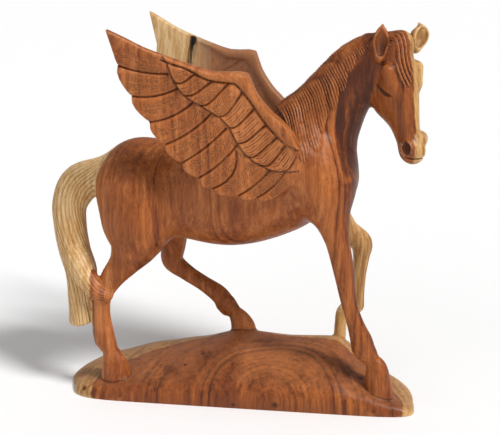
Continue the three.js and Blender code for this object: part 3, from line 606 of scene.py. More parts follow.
def barbs(u, v, shafts, gap, lean, shift):
    """How strong the strokes beside the shafts are, from 0 to 1. They lean back by that much."""
    nearest = np.full(len(u), np.inf)
    along = np.zeros(len(u))
    left = np.zeros(len(u))
    for shaft in shafts:
        length = np.linalg.norm(np.diff(shaft, axis=0), axis=1).sum()
        distance, _, share = line_distance(u, v, shaft)
        nearer = distance < nearest
        along = np.where(nearer, share * length, along)
        left = np.where(nearer, (1 - share) * length, left)
        nearest = np.minimum(nearest, distance)
    drift = np.stack([u, v, np.zeros(len(u))], axis=1)
    phase = (along - lean * nearest) / gap if lean else nearest / gap
    phase = phase + 0.25 * noise(drift, 6) + shift
    off = np.abs(phase - np.round(phase)) * gap
    stroke = np.exp(-(off / BARB_WIDTH) ** 2)
    reach = BARB_REACH * (0.8 + 0.35 * noise(drift, 11))
    stroke *= smoothstep(nearest, 0.1, 0.8) * (1 - smoothstep(nearest, reach - 1.5, reach))
    stroke *= smoothstep(along, 2, 5) * smoothstep(left, 1.5, 4)
    return stroke * smoothstep(noise(drift, 4), -0.7, -0.3)


def all_barbs(u, v, shift=0.0):
    """The strokes cut in the feathers, or with a shift of 0.5 the ridges between them."""
    chevrons = barbs(u, v, CHEVRON_SHAFTS, BARB_GAP, 1.8, shift)
    return np.maximum(chevrons, barbs(u, v, STROKE_SHAFTS, STROKE_GAP, 0, shift))


def inside_outline(u, v):
    """The distance to the wing's outline, negative inside it."""
    closed = np.concatenate([WING_OUTLINE, WING_OUTLINE[:1]])
    best = gap_to(u, v, [closed])
    inside = np.zeros(len(u), bool)
    for (u0, v0), (u1, v1) in pairwise(closed):
        if v0 != v1:
            crosses = (v0 > v) != (v1 > v)
            inside ^= crosses & (u < u0 + (v - v0) * (u1 - u0) / (v1 - v0))
    return np.where(inside, -best, best)


def wing_y(u, v):
    return WING_ROOT[1] - WING_SPREAD * (WING_ROOT[0] - u) - WING_LEAN * (v - WING_ROOT[2])


def in_wings(p, above):
    """Which places lie where the wings are, above that height."""
    return (p[:, 2] > above) & (p[:, 0] < WINGS_FRONT) & (np.abs(p[:, 1]) > WINGS_INSIDE)


def off_wing(x, y, z):
    """How far a point stands off the right wing's plane, outward."""
    return PLANE_COSINE * (wing_y(x, z) - y)


def groove(gap, depth, width):
    return depth * np.exp(-(gap / width) ** 2)


def rise(gap, height, width):
    return height * smoothstep(gap, 0, width)


def wing_heights(u, v):
    """The wing's plan: the distance to its outline, and how high its outer and inner faces stand."""
    rim = inside_outline(u, v)
    covert_gap, covert_side, _ = line_distance(u, v, COVERT_LINE)
    arm_gap, arm_side, _ = line_distance(u, v, ARM_LINE)
    primary_gap = gap_to(u, v, PRIMARY_EDGES)
    inner_gap = gap_to(u, v, COVERT_CURVES)
    primaries = PRIMARY_HEIGHT - groove(primary_gap, *FEATHER_GROOVE) + rise(primary_gap, *PRIMARY_RISE)
    coverts = COVERT_HEIGHT - groove(inner_gap, *FEATHER_GROOVE) + rise(inner_gap, *COVERT_RISE)
    outer = lerp(primaries, coverts, smoothstep(-covert_side, -STEP, STEP)) - BARB_DEPTH * all_barbs(u, v)
    across = arm_gap / np.maximum(arm_gap - rim, 0.1)
    roll = np.where(arm_side < 0, np.sqrt(np.clip(1 - (2 * across - 1) ** 2, 0, 1)), 0)
    roll *= smoothstep(u, ARM_TIP, ARM_TIP + 50)
    is_arm = smoothstep(-arm_side, -STEP, STEP) * smoothstep(u, ARM_TIP, ARM_TIP + 12)
    outer = lerp(outer, COVERT_HEIGHT - 1 + ARM_ROLL * roll, is_arm)
    outer -= groove(covert_gap, *COVERT_GROOVE)
    outer -= groove(arm_gap, *ARM_GROOVE)
    return rim, outer, INNER_HEIGHT + 0.5 * ARM_ROLL * roll


class Wing(Form):
    centre = np.array([-28.0, -58.0, 296.0])
    reach = 132.0

    def distance(self, p):
        outward = off_wing(*p.T)
        d = np.abs(outward) - SLAB
        near = np.flatnonzero(np.abs(outward) < SLAB + 4)
        out = outward[near]
        rim, outer, inner = wing_heights(p[near, 0], p[near, 2])
        blade = meet(out - outer, -out - inner, 1.0)
        d[near] = meet(blade, rim, 2.5)
        return d


class LeftWing(Form):
    """The left wing is carved a little shorter than the right one, and its tip hangs lower."""

    centre = np.array([-33.0, 58.0, 296.0])
    reach = 132.0

    def distance(self, p):
        return right_wing.distance(to_left_wing(p))


def to_left_wing(p):
    """Where a point of the left wing lies on the right one that it mirrors."""
    x, y, z = p.T
    return np.stack([x * LEFT_SHORTER + LEFT_BACK, -y, z - LEFT_DROOP * x - LEFT_RISE], axis=1)


right_wing = Wing()
left_wing = LeftWing()
# A bark pocket opens the inner face of the left wing
crack = Limb(
    [(-64.5, 65.2, 352, 2.4), (-65.5, 64.6, 345, 4.0), (-67.5, 63.6, 335, 4.6), (-70, 62.6, 320, 4.8)],
    flat=0.8,
    steps=5,
)

# Head: forward is out of the forehead, left is the horse's left, down runs from poll to muzzle

POLL = np.array([144.0, -20.0, 355.0])
FACING = np.array([math.cos(HEAD_TURN), -math.sin(HEAD_TURN), 0])
LEFT = np.array([math.sin(HEAD_TURN), math.cos(HEAD_TURN), 0])
UP = np.array([0, 0, 1.0])
FORWARD = FACING * math.cos(HEAD_TILT) + UP * math.sin(HEAD_TILT)
DOWN = FACING * math.sin(HEAD_TILT) - UP * math.cos(HEAD_TILT)
HEAD_AXES = np.stack([FORWARD, LEFT, DOWN], axis=1)
# The right nostril lies a little lower than the left one
NOSE_SKEW = -3.1
skull = Limb([
    (-3, 0, -1, 17), (-4.5, 0, 20, 18.5), (-2.5, 0, 38, 17.3), (-1, 0, 54, 14.5), (1, 0, 73, 11.2),
    (2, 0, 88, 10.2),
], 0.92, 6)
jaw = Limb([
    (-18, 0, 19, 18), (-20, 0, 35, 22), (-15.5, 0, 52, 15), (-10, 0, 64, 11), (-6, 0, 76, 8.8),
    (-1, 0, 90, 7),
], 0.75, 6)
topknot = Ball(1, 5, -9, 11)
muzzle = Ball(4, 0, 93, 11, 0.9)
brows = [Limb([(3.5, s * 17.5, 16, 6.5), (3.5, s * 15.5, 30, 5.8)]) for s in (-1, 1)]
sockets = [Ball(3, s * 23.5, 45, 9) for s in (-1, 1)]
eyes = [Limb([(-12, s * 12, 24, 4), (-4, s * 13.5, 30, 5.8), (2.5, s * 12.5, 35, 4.2)]) for s in (-1, 1)]
slits = [
    Limb([(-12.5, s * 17.5, 28, 1.3), (-5, s * 19, 35, 3.0), (1.5, s * 18, 40, 1.6)], steps=5)
    for s in (-1, 1)
]
nostrils = [Ball(7.5, s * 10.5, 85 + s * NOSE_SKEW, 6.6) for s in (-1, 1)]
nostril_holes = [
    Limb([(9.5, s * 14, 80 + s * NOSE_SKEW, 2.2), (11, s * 14, 85 + s * NOSE_SKEW, 3.7),
          (10, s * 13, 90 + s * NOSE_SKEW, 2.4)])
    for s in (-1, 1)
]
mouth = Limb([
    (-2, -9, 94, 0.8), (7.5, -8, 98, 0.9), (12.5, 0, 100, 0.9), (7.5, 8, 98, 0.9), (-2, 9, 94, 0.8),
], steps=6)
# The right and the left ear, each with the cup that is cut in it
ears = [[Limb(stations, steps=5) for stations in ear_and_cup] for ear_and_cup in (
    (
        [(-3.5, -19.5, 2, 5.8), (-1, -17.5, -12, 7.8), (1.5, -17.3, -19.5, 5.2), (3.5, -17, -26, 1.3)],
        [(2, -22, -2, 3.8), (3.6, -21.3, -12, 5.8), (6, -21, -22, 3)],
    ), (
        [(3, 19.5, -3, 6.2), (4.5, 24, -11, 8.8), (4.5, 28, -15.5, 7), (4.5, 27, -24, 1.3)],
        [(8.5, 20, -5, 3.4), (10, 23.5, -11, 6.4), (10, 27, -17, 4)],
    ),
)]
# What the skull gets and loses, in this order and with these fillets
HEAD_STEPS = [
    (join, [jaw], 9), (join, [muzzle], 8), (join, [topknot], 6), (join, brows, 6), (cut, sockets, 5),
    (join, eyes, 6), (cut, slits, 1.2), (join, nostrils, 4), (cut, nostril_holes, 1.5), (cut, [mouth], 1.5),
]
# The forelock's strands in the plane of (left, down), from the poll to their points
FORELOCK = [
    smooth_curve(line, 4, power=0) for line in (
        [(-10.8, -12), (-12.5, 0), (-12.6, 12), (-10.6, 22), (-7.6, 32)],
        [(-8.3, -15), (-9.4, 0), (-9.2, 12), (-7.4, 22), (-4.6, 31)],
        [(-4.6, -16), (-5.8, -2), (-5.8, 10), (-4.4, 20), (-2, 28)],
        [(-0.8, -17), (-2.3, -4), (-2.6, 6), (-1.6, 15), (0.4, 22)],
    )
]
ROPE_HEIGHT = 1.7
ROPE_HALF_WIDTH = 2.2
ROPE_HALF_POINT = 1.1


def forelock_height(q):
    """Ropes of hair that stand on the forehead and taper to their ends."""
    height = np.zeros(len(q))
    for line in FORELOCK:
        gap, _, share = line_distance(q[:, 1], q[:, 2], line)
        half_width = lerp(ROPE_HALF_WIDTH, ROPE_HALF_POINT, share)
        height = np.maximum(height, 1 - smoothstep(gap, 0.2, half_width))
    return ROPE_HEIGHT * height * smoothstep(q[:, 0], 2, 9)


def in_head(p):
    """The places as (forward, left, down) from the poll."""
    return (p - POLL) @ HEAD_AXES


class Head(Form):
    centre = POLL + 45 * DOWN
    reach = 98.0

    def distance(self, p):
        q = in_head(p)
        h = skull.distance(q)
        for step, forms, fillet in HEAD_STEPS:
            for form in forms:
                h = step(h, form.distance(q), fillet)
        near = np.flatnonzero(np.abs(h) < 6)
        h[near] -= forelock_height(q[near])
        for ear, cup in ears:
            h = join(h, cut(ear.distance(q), cup.distance(q), 1.5), 2)
        return h


head = Head()
base = Base()
# The forms in the order that they are joined in, with their fillets. The mane lies on the first ones
MANED = [([trunk, withers], 18), (wing_pads + breast, 14), ([neck], 16)]
UNMANED = [
    ([head], 4), (shanks, 12), (hooves, 3), (tufts, 3), ([tail], 5), ([tail_lock, right_wing, left_wing], 4),
]
CRACK_FILLET = 0.8
BASE_FILLET = 3
# The field where no form is near, and how far out of the neck the mane changes it
FAR = 99.0
MANE_REACH = 12


def add_all(groups, d, p):
    for forms, fillet in groups:
        for form in forms:
            form.add_to(d, p, fillet)


def figure(p):
    """The whole horse and base: negative inside the wood, zero on its skin."""
    d = np.full(len(p), FAR)
    add_all(MANED, d, p)
    maned = np.flatnonzero((d < MANE_REACH) & may_be_maned(p))
    d[maned] -= mane_height(p[maned])
    add_all(UNMANED, d, p)
    d = cut(d, crack.distance(p), CRACK_FILLET)
    base.add_to(d, p, BASE_FILLET)
    return np.maximum(d, -p[:, 2])


# Mesh work in arrays: points are (n, 3) in millimetres, faces are (n, 3) vertex numbers

def placed(name, data):
    """A new object of the scene."""
    obj = bpy.data.objects.new(name, data)
    bpy.context.scene.collection.objects.link(obj)
    return obj


def modified(name, mesh, kind, settings):
    """The mesh's points and faces after one modifier."""
    obj = placed(name, mesh)
    modifier = obj.modifiers.new(name, kind)
    for setting, value in settings.items():
        setattr(modifier, setting, value)
    bpy.context.view_layer.update()
    result = bpy.data.meshes.new_from_object(obj.evaluated_get(bpy.context.evaluated_depsgraph_get()))
    bpy.data.objects.remove(obj)
    return arrays(result)


def remeshed(node, voxel):
    """The node's surface as an even triangle mesh."""
    settings = {"mode": "VOXEL", "voxel_size": voxel * MM}
    points, quads = modified("remeshed", node.data.copy(), "REMESH", settings)
    return points, np.concatenate([quads[:, [0, 1, 2]], quads[:, [0, 2, 3]]])


def arrays(mesh):
    points = np.empty(len(mesh.vertices) * 3)
    mesh.vertices.foreach_get("co", points)
    corners = np.empty(len(mesh.loops), int)
    mesh.loops.foreach_get("vertex_index", corners)
    sides = len(mesh.polygons[0].vertices)
    return points.reshape(-1, 3) / MM, corners.reshape(-1, sides)


def write_mesh(name, points, faces):
    mesh = bpy.data.meshes.new(name)
    mesh.vertices.add(len(points))
    mesh.vertices.foreach_set("co", (points * MM).astype(np.float32).ravel())
    mesh.loops.add(faces.size)
    mesh.loops.foreach_set("vertex_index", faces.astype(np.int32).ravel())
    mesh.polygons.add(len(faces))
    mesh.polygons.foreach_set("loop_start", np.arange(0, faces.size, 3, dtype=np.int32))
    mesh.update(calc_edges=True)
    return mesh


def spread(values, index, count):
    """Adds up values at the given indices, column by column."""
    return np.stack([np.bincount(index, values[:, n], count) for n in range(values.shape[1])], axis=1)


def normals(points, faces):
    a, b, c = (points[faces[:, n]] for n in range(3))
    face_normals = np.cross(b - a, c - a)
    total = sum(spread(face_normals, faces[:, n], len(points)) for n in range(3))
    return total / np.maximum(np.linalg.norm(total, axis=1), 1e-12)[:, None]


def neighbour_mean(points, faces, values):
    starts = faces.ravel()
    ends = faces[:, [1, 2, 0]].ravel()
    total = spread(values[ends], starts, len(points)) + spread(values[starts], ends, len(points))
    degree = np.bincount(starts, minlength=len(points)) + np.bincount(ends, minlength=len(points))
    return total / np.maximum(degree, 1)[:, None]


def relax(points, faces, share):
    """Evens the mesh out without moving its surface: each vertex slides toward its neighbours' mean."""
    n = normals(points, faces)
    shift = neighbour_mean(points, faces, points) - points
    shift -= (shift * n).sum(axis=1)[:, None] * n
    return points + share * shift


def in_parts(field, points):
    """The field's values, worked out part by part on all cores."""
    with ThreadPoolExecutor() as pool:
        return np.concatenate(list(pool.map(field, np.array_split(points, PARTS))))


def to_surface(field, points, faces):
    """The step that takes each point to the field's zero surface.

    A point close to it moves along the mesh's normal, another one down the field's slope.
    """
    value = in_parts(field, points)
    way = normals(points, faces)
    far = np.flatnonzero(np.abs(value) > CLOSE)
    if len(far):
        ahead = [in_parts(field, points[far] + SLOPE_STEP * axis) for axis in np.eye(3)]
        slope = (np.stack(ahead, axis=1) - value[far, None]) / SLOPE_STEP
        way[far] = slope / np.maximum((slope * slope).sum(axis=1), 0.25)[:, None]
    return -np.clip(value, -DRAW_LIMIT, DRAW_LIMIT)[:, None] * way


def draw_onto(field, points, faces, rounds):
    for _ in range(rounds):
        points = relax(points + to_surface(field, points, faces), faces, RELAX_SHARE)
    return points + to_surface(field, points, faces)


# How a face is cut: triples of its corners 0, 1, 2 and of 3, 4, 5, the middles of its edges 01, 12, 20
ONE_EDGE_CUT = [(0, 3, 2), (3, 1, 2)]
TWO_EDGES_CUT = [(3, 1, 4), (0, 3, 4), (0, 4, 2)]
THREE_EDGES_CUT = [(0, 3, 5), (3, 1, 4), (5, 4, 2), (3, 4, 5)]


def split(points, faces, marked):
    """Cuts each marked face in four, and its neighbours to match."""
    edges = np.sort(np.concatenate([faces[:, [0, 1]], faces[:, [1, 2]], faces[:, [2, 0]]]), axis=1)
    keys, inverse = np.unique(edges[:, 0] * len(points) + edges[:, 1], return_inverse=True)
    cut_edge = np.zeros(len(keys), bool)
    cut_edge[inverse.reshape(3, -1)[:, marked].ravel()] = True
    middle = np.where(cut_edge, len(points) + np.cumsum(cut_edge) - 1, -1)
    ends = np.stack([keys // len(points), keys % len(points)], axis=1)[cut_edge]
    middles = middle[inverse].reshape(3, -1).T
    count = (middles >= 0).sum(axis=1)
    whole = np.concatenate([faces, middles], axis=1)
    out = [faces[count == 0]]
    out += [whole[count == 3][:, triple] for triple in THREE_EDGES_CUT]
    for turn in range(3):
        order = [(turn + n) % 3 for n in range(3)]
        turned = np.concatenate([faces[:, order], middles[:, order]], axis=1)
        one = (count == 1) & (turned[:, 3] >= 0)
        out += [turned[one][:, triple] for triple in ONE_EDGE_CUT]
        two = (count == 2) & (turned[:, 5] < 0)
        out += [turned[two][:, triple] for triple in TWO_EDGES_CUT]
    return np.concatenate([points, points[ends].mean(axis=1)]), np.concatenate(out)


def carve():
    """The carving as points and faces."""
    points, faces = remeshed(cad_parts[NODE], VOXEL)
    points = draw_onto(figure, points, faces, DRAW_ROUNDS)
    points, faces = split(points, faces, is_fine(points[faces].mean(axis=1)))
    points = draw_onto(figure, points, faces, FINE_DRAW_ROUNDS)
    return points, faces


def is_fine(p):
    """Where the relief is too fine for the first mesh: wings, head, mane and tail."""
    x, y, z = p.T
    head_or_mane = (x > 20) & (z > 225) & (np.abs(y) < 90) & (x + z > 320)
    tail_and_lock = (x < -147) | ((x < -130) & (y < -25) & (z > 95) & (z < 150))
    on_hooves = np.zeros(len(p), bool)
    for hoof in hooves:
        x0, y0, z0, r = *hoof.points[-1], hoof.radii[-1]
        on_hooves |= (np.hypot(x - x0, y - y0) < r + 7) & (np.abs(z - z0) < 24)
    return in_wings(p, 212) | head_or_mane | tail_and_lock | on_hooves


def thinned(points, faces, budget):
    """The mesh with fewer faces, fine where the surface bends and coarse where it is flat."""
    settings = {"ratio": min(1, budget / len(faces))}
    return modified("thinned", write_mesh("thinned", points, faces), "DECIMATE", settings)


def carried(source, values, target):
    """For each target point the value of the nearest source point."""
    tree = KDTree(len(source))
    for i, point in enumerate(source.tolist()):
        tree.insert(point, i)
    tree.balance()
    return values[[tree.find(point)[1] for point in target.tolist()]]


def keep(mesh, name, values):
    """Stores one number for each vertex, which the material reads by that name."""
    layer = mesh.attributes.new(name, "FLOAT", "POINT")
    layer.data.foreach_set("value", np.clip(values, 0, 1).astype(np.float32))


def hollows(points, faces):
    """How deep each vertex lies below its surroundings, in millimetres. A ridge has less than 0."""
    smooth = points
    for _ in range(HOLLOW_ROUNDS):
        smooth = neighbour_mean(points, faces, smooth)
    edge = np.linalg.norm(points[faces[:, 0]] - points[faces[:, 1]], axis=1)
    count = np.bincount(faces[:, 0], minlength=len(points))
    size = np.bincount(faces[:, 0], edge, len(points)) / np.maximum(count, 1)
    depth = ((smooth - points) * normals(points, faces)).sum(axis=1)
    return depth * (FINE_EDGE / np.maximum(size, FINE_EDGE)) ** 2


def filled_in(count, where, values):
    """So many zeros, with the values put in where they belong."""
    out = np.zeros(count)
    out[where] = values
    return out


# What the material reads at each vertex, from 0 to 1. The vertices are p and their normals n

def on_left_wing(p):
    """1 on the left wing, 0 away from it."""
    near = left_wing.near(p)
    return filled_in(len(p), near, 1 - smoothstep(left_wing.distance(p[near]), 0.5, 5))


def on_base(p):
    return smoothstep(-base.distance(p), -2, -0.5)


def sap_bias(p):
    """Where the wood isn't what the log's plan makes it: 0 is heartwood, 0.5 keeps the plan."""
    left_hind = np.minimum(*(limb.distance(p) for limb in far_hind))
    return 0.5 - 0.5 * (1 - smoothstep(left_hind, 2, 16)) * smoothstep(p[:, 2], 40, 50)


# The edge of the painted shadow that the head casts on the throat, as x at heights z
THROAT_SHADOW_Z = (227, 252, 292, 330, 350)
THROAT_SHADOW_X = (107, 93, 87, 95, 112)


def tone_and_painted_light(p, n):
    """How much darker or paler each place is painted: 0.5 is neutral, 0 darkest. It holds the wood's own
    darker and paler parts, and also painted shade and a painted highlight.
    """
    x, y, z = p.T
    wing_tip = smoothstep(-x, 98, 112) * smoothstep(z, 335, 352) * (y < 0)
    face = smoothstep(-head.distance(p), -3, 0) * (z > 225) * (x > 95)
    # The throat is painted dark, as the head's shadow on it
    throat = smoothstep(x - np.interp(z, THROAT_SHADOW_Z, THROAT_SHADOW_X), -3, 4) * smoothstep(z, 225, 250) * (1 - face)
    left_foreleg = (y > 0) * (x > 100) * (z > 45) * (z < 190)
    shins = (z < 150) * (1 - smoothstep(-base.distance(p), -3, -1)) * (y < 0) * (x > -130)
    # Faces of the right foreleg and breast that look toward +x are painted darker, as shade
    shaded_leg_fronts = (x > 60) * (y < -15) * (z > 60) * (z < 232) * smoothstep(n[:, 0], 0.5, 0.85)
    tail_hair = (x < -128) * (y > -45) * (z > 70) * (z < 262)
    # The right wing's coverts are painted paler, as a highlight on them
    wing = np.flatnonzero(in_wings(p, 232) & (y < 0))
    coverts = filled_in(len(p), wing, line_distance(x[wing], z[wing], COVERT_LINE)[1] < 0)
    darker = [(0.3, wing_tip), (0.44, throat), (0.04, face), (0.18, left_foreleg), (0.2, on_base(p)),
              (0.1, shins), (0.3, shaded_leg_fronts)]
    paler = [(0.14, tail_hair), (0.14, coverts), (0.25, on_left_wing(p))]
    return 0.5 - sum(share * place for share, place in darker) + sum(share * place for share, place in paler)


def dust_on(p, n):
    """Where the wood is greyed: the top of the base."""
    return 0.65 * on_base(p) * smoothstep(n[:, 2], 0.6, 0.95)


def hair_lines(p):
    """How dark the grooves between the strands of the mane and tail are painted: partly waxed, partly
    painted shade.
    """
    maned = np.flatnonzero(may_be_maned(p) & (head.distance(p) > 1.5))
    slant, below, length = on_mane(p[maned])
    cover = (1 - smoothstep(below, length - 4, length + 1)) * smoothstep(length, 0, 8)
    cover *= smoothstep(below, -2, 2)
    gaps = (1 - np.abs(np.sin(np.pi * slant / STRAND))) ** 2
    dark = filled_in(len(p), maned, (0.55 + 0.4 * noise(p[maned], 17)) * gaps * cover)
    tailed = np.flatnonzero(np.abs(tail.distance(p)) < 1.5)
    _, piece, along = tail.place(p[tailed])
    share, angle = tail.around(p[tailed], piece, along)
    gaps = (1 - np.abs(np.sin(TAIL_STRANDS * tail_turn(share, angle)))) ** 2
    dark[tailed] = 0.7 * gaps * smoothstep(share, 0.04, 0.14)
    return dark


def head_cuts(p):
    """How dark the eyes, nostrils, mouth and ears, and the grooves beside the forelock's strands, are
    painted: partly waxed, partly painted shade.
    """
    near = head.near(p)
    q = in_head(p[near])
    low = smoothstep(q[:, 2], -24, -4)
    wax_and_shade = [(form, 1.0, 1.2) for form in slits + nostril_holes]
    wax_and_shade += [(mouth, 0.5, 1.2)] + [(cup, 0.75 * low, 1.0) for _, cup in ears]
    gap = gap_to(q[:, 1], q[:, 2], FORELOCK)
    beside = smoothstep(gap, 1.2, 1.9) * (1 - smoothstep(gap, 2.2, 2.9)) * smoothstep(q[:, 0], 0, 6)
    beside *= 1 - smoothstep(np.abs(head.distance(p[near])), 1, 3)
    darkest = 0.8 * beside
    for form, share, reach in wax_and_shade:
        darkest = np.maximum(darkest, share * (1 - smoothstep(form.distance(q), 0.1, reach)))
    return filled_in(len(p), near, darkest)


def joint_lines(p):
    """How dark the crease is painted where a hoof stands on the base: partly waxed, partly painted shade."""
    off_base = base.distance(p)
    dark = np.zeros(len(p))
    for hoof in hooves:
        near = hoof.near(p, 4)
        apart = np.maximum(hoof.distance(p[near]), off_base[near])
        dark[near] = np.maximum(dark[near], 1 - smoothstep(apart, 0.5, 1.9))
    return dark


def feather_lines(p, n):
    """How dark the feathers' edges and barbs are painted, partly waxed and partly shade, and how pale their
    ridges are painted, partly wear and partly highlight.
    """
    dark = np.zeros(len(p))
    pale = np.zeros(len(p))
    for mirror in (1, -1):
        q = p if mirror == 1 else to_left_wing(p)
        near = right_wing.near(q)
        u, v = q[near, 0], q[near, 2]
        out = off_wing(u, q[near, 1], v)
        gap = gap_to(u, v, PRIMARY_EDGES + COVERT_CURVES + [COVERT_LINE, ARM_LINE])
        face = smoothstep(out, 0.5, 2.5) * (1 - smoothstep(out, 12, SLAB)) * (n[near, 1] * mirror < -0.3)
        line = np.maximum(groove(gap, 0.9, 0.75), 0.4 * all_barbs(u, v))
        # A pale line beside each groove and between the barbs: partly wear, partly painted highlight
        ridge = np.maximum(groove(gap - 1.9, 0.5, 0.6), all_barbs(u, v, 0.5))
        dark[near] = np.maximum(dark[near], line * face)
        pale[near] = np.maximum(pale[near], ridge * face)
    return dark, pale


def wax_shade_wear_and_highlight(p, n, depth):
    """How dark all the cuts are painted, partly waxed and partly painted shade, and how pale the ridges are
    painted, partly wear and partly painted highlight.
    """
    inner_face = in_wings(p, 225) & (n[:, 1] * np.sign(p[:, 1]) < -0.3)
    depth = np.where(inner_face, 0, depth)
    dark, pale = feather_lines(p, n)
    # Hollows are painted darker: partly waxed, partly painted shade
    dark = np.maximum(dark, smoothstep(depth, 0.08, 0.4))
    for lines in (joint_lines, hair_lines, head_cuts):
        dark = np.maximum(dark, lines(p))
    # Ridges are painted paler: partly wear, partly painted highlight
    return dark, np.maximum(pale, smoothstep(-depth, 0.1, 0.4))


def horse():
    dense, dense_faces = carve()
    p, faces = thinned(dense, dense_faces, FACE_BUDGET)
    n = normals(p, faces)
    dark, pale = wax_shade_wear_and_highlight(p, n, carried(dense, hollows(dense, dense_faces), p))
    mesh = write_mesh(PIECE, p, faces)
    mesh.shade_smooth()
    # Some of these paint light: shade and a highlight among the darker and paler places, shade in the cuts
    # besides the waxing, highlight on the ridges besides the wear
    for name, values in (
        ("sap", sap_bias(p)), ("tone_and_light", tone_and_painted_light(p, n)), ("cut", dark), ("worn_and_lit", pale),
        ("wing", on_left_wing(p)), ("dust", dust_on(p, n)),
    ):
        keep(mesh, name, values)
    mesh.materials.append(wood())
    obj = placed(PIECE, mesh)
    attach(obj, "root")
    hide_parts(NODE)


# Material: heartwood and sapwood, with the growth rings of a log that stood upright, in metres

def srgb(red, green, blue):
    """A colour seen as that sRGB triple, as the linear one that shaders take."""
    channels = [c / 255 for c in (red, green, blue)]
    return tuple(c / 12.92 if c < 0.04045 else ((c + 0.055) / 1.055) ** 2.4 for c in channels) + (1,)


# DEEP, the darkest heartwood, shows where the wood is painted darkest, above all in the painted shadow on
# the throat
DEEP = srgb(66, 32, 15)
HEART_DARK = srgb(98, 46, 20)
HEART = srgb(150, 82, 36)
HEART_PALE = srgb(192, 120, 68)
ORANGE = srgb(176, 100, 46)
RED_BROWN = srgb(126, 60, 30)
SAP_DARK = srgb(146, 100, 54)
SAP = srgb(192, 148, 92)
SAP_PALE = srgb(222, 188, 138)
DUST = srgb(150, 102, 70)
# The dark of the cuts, partly waxed and partly painted shade, in heartwood and in sapwood; CUT also darkens
# the knots and pores
CUT = srgb(58, 24, 10)
SAP_CUT = srgb(128, 82, 38)
BARK = srgb(22, 12, 8)
# The log stood upright where the horse stands: its pith, and the oval plan of its heartwood
PITH = (0.034, -0.075, 0.0)
HEART_CENTRE = (0.005, -0.045, 0.0)
HEART_SCALE = (1 / 0.160, 1 / 0.075, 0.0)
HEART_EDGE = 0.975
# The left wing is sapwood up to here, as x
WING_SAP_START = -0.058
WING_SAP_END = -0.040
# Dark growth rings, as distances from the pith
DARK_RINGS = (0.067, 0.0735, 0.1215)
RING_SHARE = 0.22
RINGS_PER_METRE = 190
# The bark in the left wing's crack
CRACK_TOP = tuple(crack.points[0] * MM)
CRACK_END = tuple(crack.points[-1] * MM)
CRACK_WIDTH = 0.0055
# Small knots and wormholes on the base: x, y and z in millimetres, and the size
KNOTS = [
    (-44, -11.5, 37.5, 3.2), (-60, -27.5, 31, 2.8), (119, -25.5, 26.5, 3.4), (-161, -50, 9, 3.6),
    (36, -57, 6.5, 4.6), (-6, -57, 4, 3.0),
]


class Shading:
    """A material's node tree, built by calls that return sockets."""

    def __init__(self, name):
        self.material = bpy.data.materials.new(name)
        self.material.use_nodes = True
        self.tree = self.material.node_tree
        self.shader = self.tree.nodes["Principled BSDF"]

    def put(self, value, socket):
        if isinstance(value, bpy.types.NodeSocket):
            self.tree.links.new(value, socket)
        else:
            socket.default_value = value

    def node(self, kind, inputs, output=0, **settings):
        node = self.tree.nodes.new(kind)
        for name, value in settings.items():
            setattr(node, name, value)
        for name, value in inputs.items():
            self.put(value, node.inputs[name])
        return node.outputs[output]

    def attribute(self, name):
        return self.node("ShaderNodeAttribute", {}, "Fac", attribute_name=name)

    def math(self, operation, a, b=0.0, clamp=False):
        return self.node("ShaderNodeMath", {0: a, 1: b}, operation=operation, use_clamp=clamp)

    def plus(self, a, b):
        return self.math("ADD", a, b)

    def minus(self, a, b):
        return self.math("SUBTRACT", a, b)

    def times(self, a, b):
        return self.math("MULTIPLY", a, b)

    def vector(self, operation, a, b, output=0):
        return self.node("ShaderNodeVectorMath", {0: a, 1: b}, output, operation=operation)

    def scaled(self, place, scale):
        return self.vector("MULTIPLY", place, scale)

    def length(self, vector):
        return self.vector("LENGTH", vector, (0, 0, 0), "Value")

    def noise(self, place, stretch, scale, detail, roughness=0.5, output="Fac"):
        place = self.scaled(place, (1, 1, stretch))
        inputs = {"Vector": place, "Scale": scale, "Detail": detail, "Roughness": roughness}
        return self.node("ShaderNodeTexNoise", inputs, output)

    def swayed(self, place, size, source, *noise):
        """The place, moved across the log by a noise of the source place."""
        sway = self.vector("SUBTRACT", self.noise(source, *noise, output="Color"), (0.5, 0.5, 0.5))
        return self.vector("ADD", place, self.scaled(sway, (size, size, 0)))

    def ramp(self, value, low, high, smooth=True):
        inputs = {"Value": value, "From Min": low, "From Max": high}
        kind = "SMOOTHSTEP" if smooth else "LINEAR"
        return self.node("ShaderNodeMapRange", inputs, interpolation_type=kind)

    def fade(self, value, low, high):
        """1 up to low, 0 from high on."""
        return self.minus(1.0, self.ramp(value, low, high))

    def swing(self, value, share):
        """What a value adds when it swings round 0.5."""
        return self.times(self.minus(value, 0.5), share)

    def mix(self, share, a, b):
        return self.node("ShaderNodeMix", {0: share, 6: a, 7: b}, 2, data_type="RGBA")

    def tint(self, colour, other, where, most):
        """The colour, turned into the other one by at most that share."""
        return self.mix(self.times(where, most), colour, other)

    def near_line(self, place, start, end, width, ragged):
        """1 within that width of the line from start to end, 0 beyond it."""
        span = tuple(b - a for a, b in zip(start, end))
        length = math.hypot(*span)
        from_start = self.vector("SUBTRACT", place, start)
        unit = tuple(c / length for c in span)
        along = self.vector("DOT_PRODUCT", from_start, unit, "Value")
        share = self.math("DIVIDE", along, length, clamp=True)
        foot = self.node("ShaderNodeVectorMath", {0: span, "Scale": share}, operation="SCALE")
        gap = self.vector("DISTANCE", from_start, foot, "Value")
        return self.fade(self.plus(gap, ragged), width, width + 0.0008)


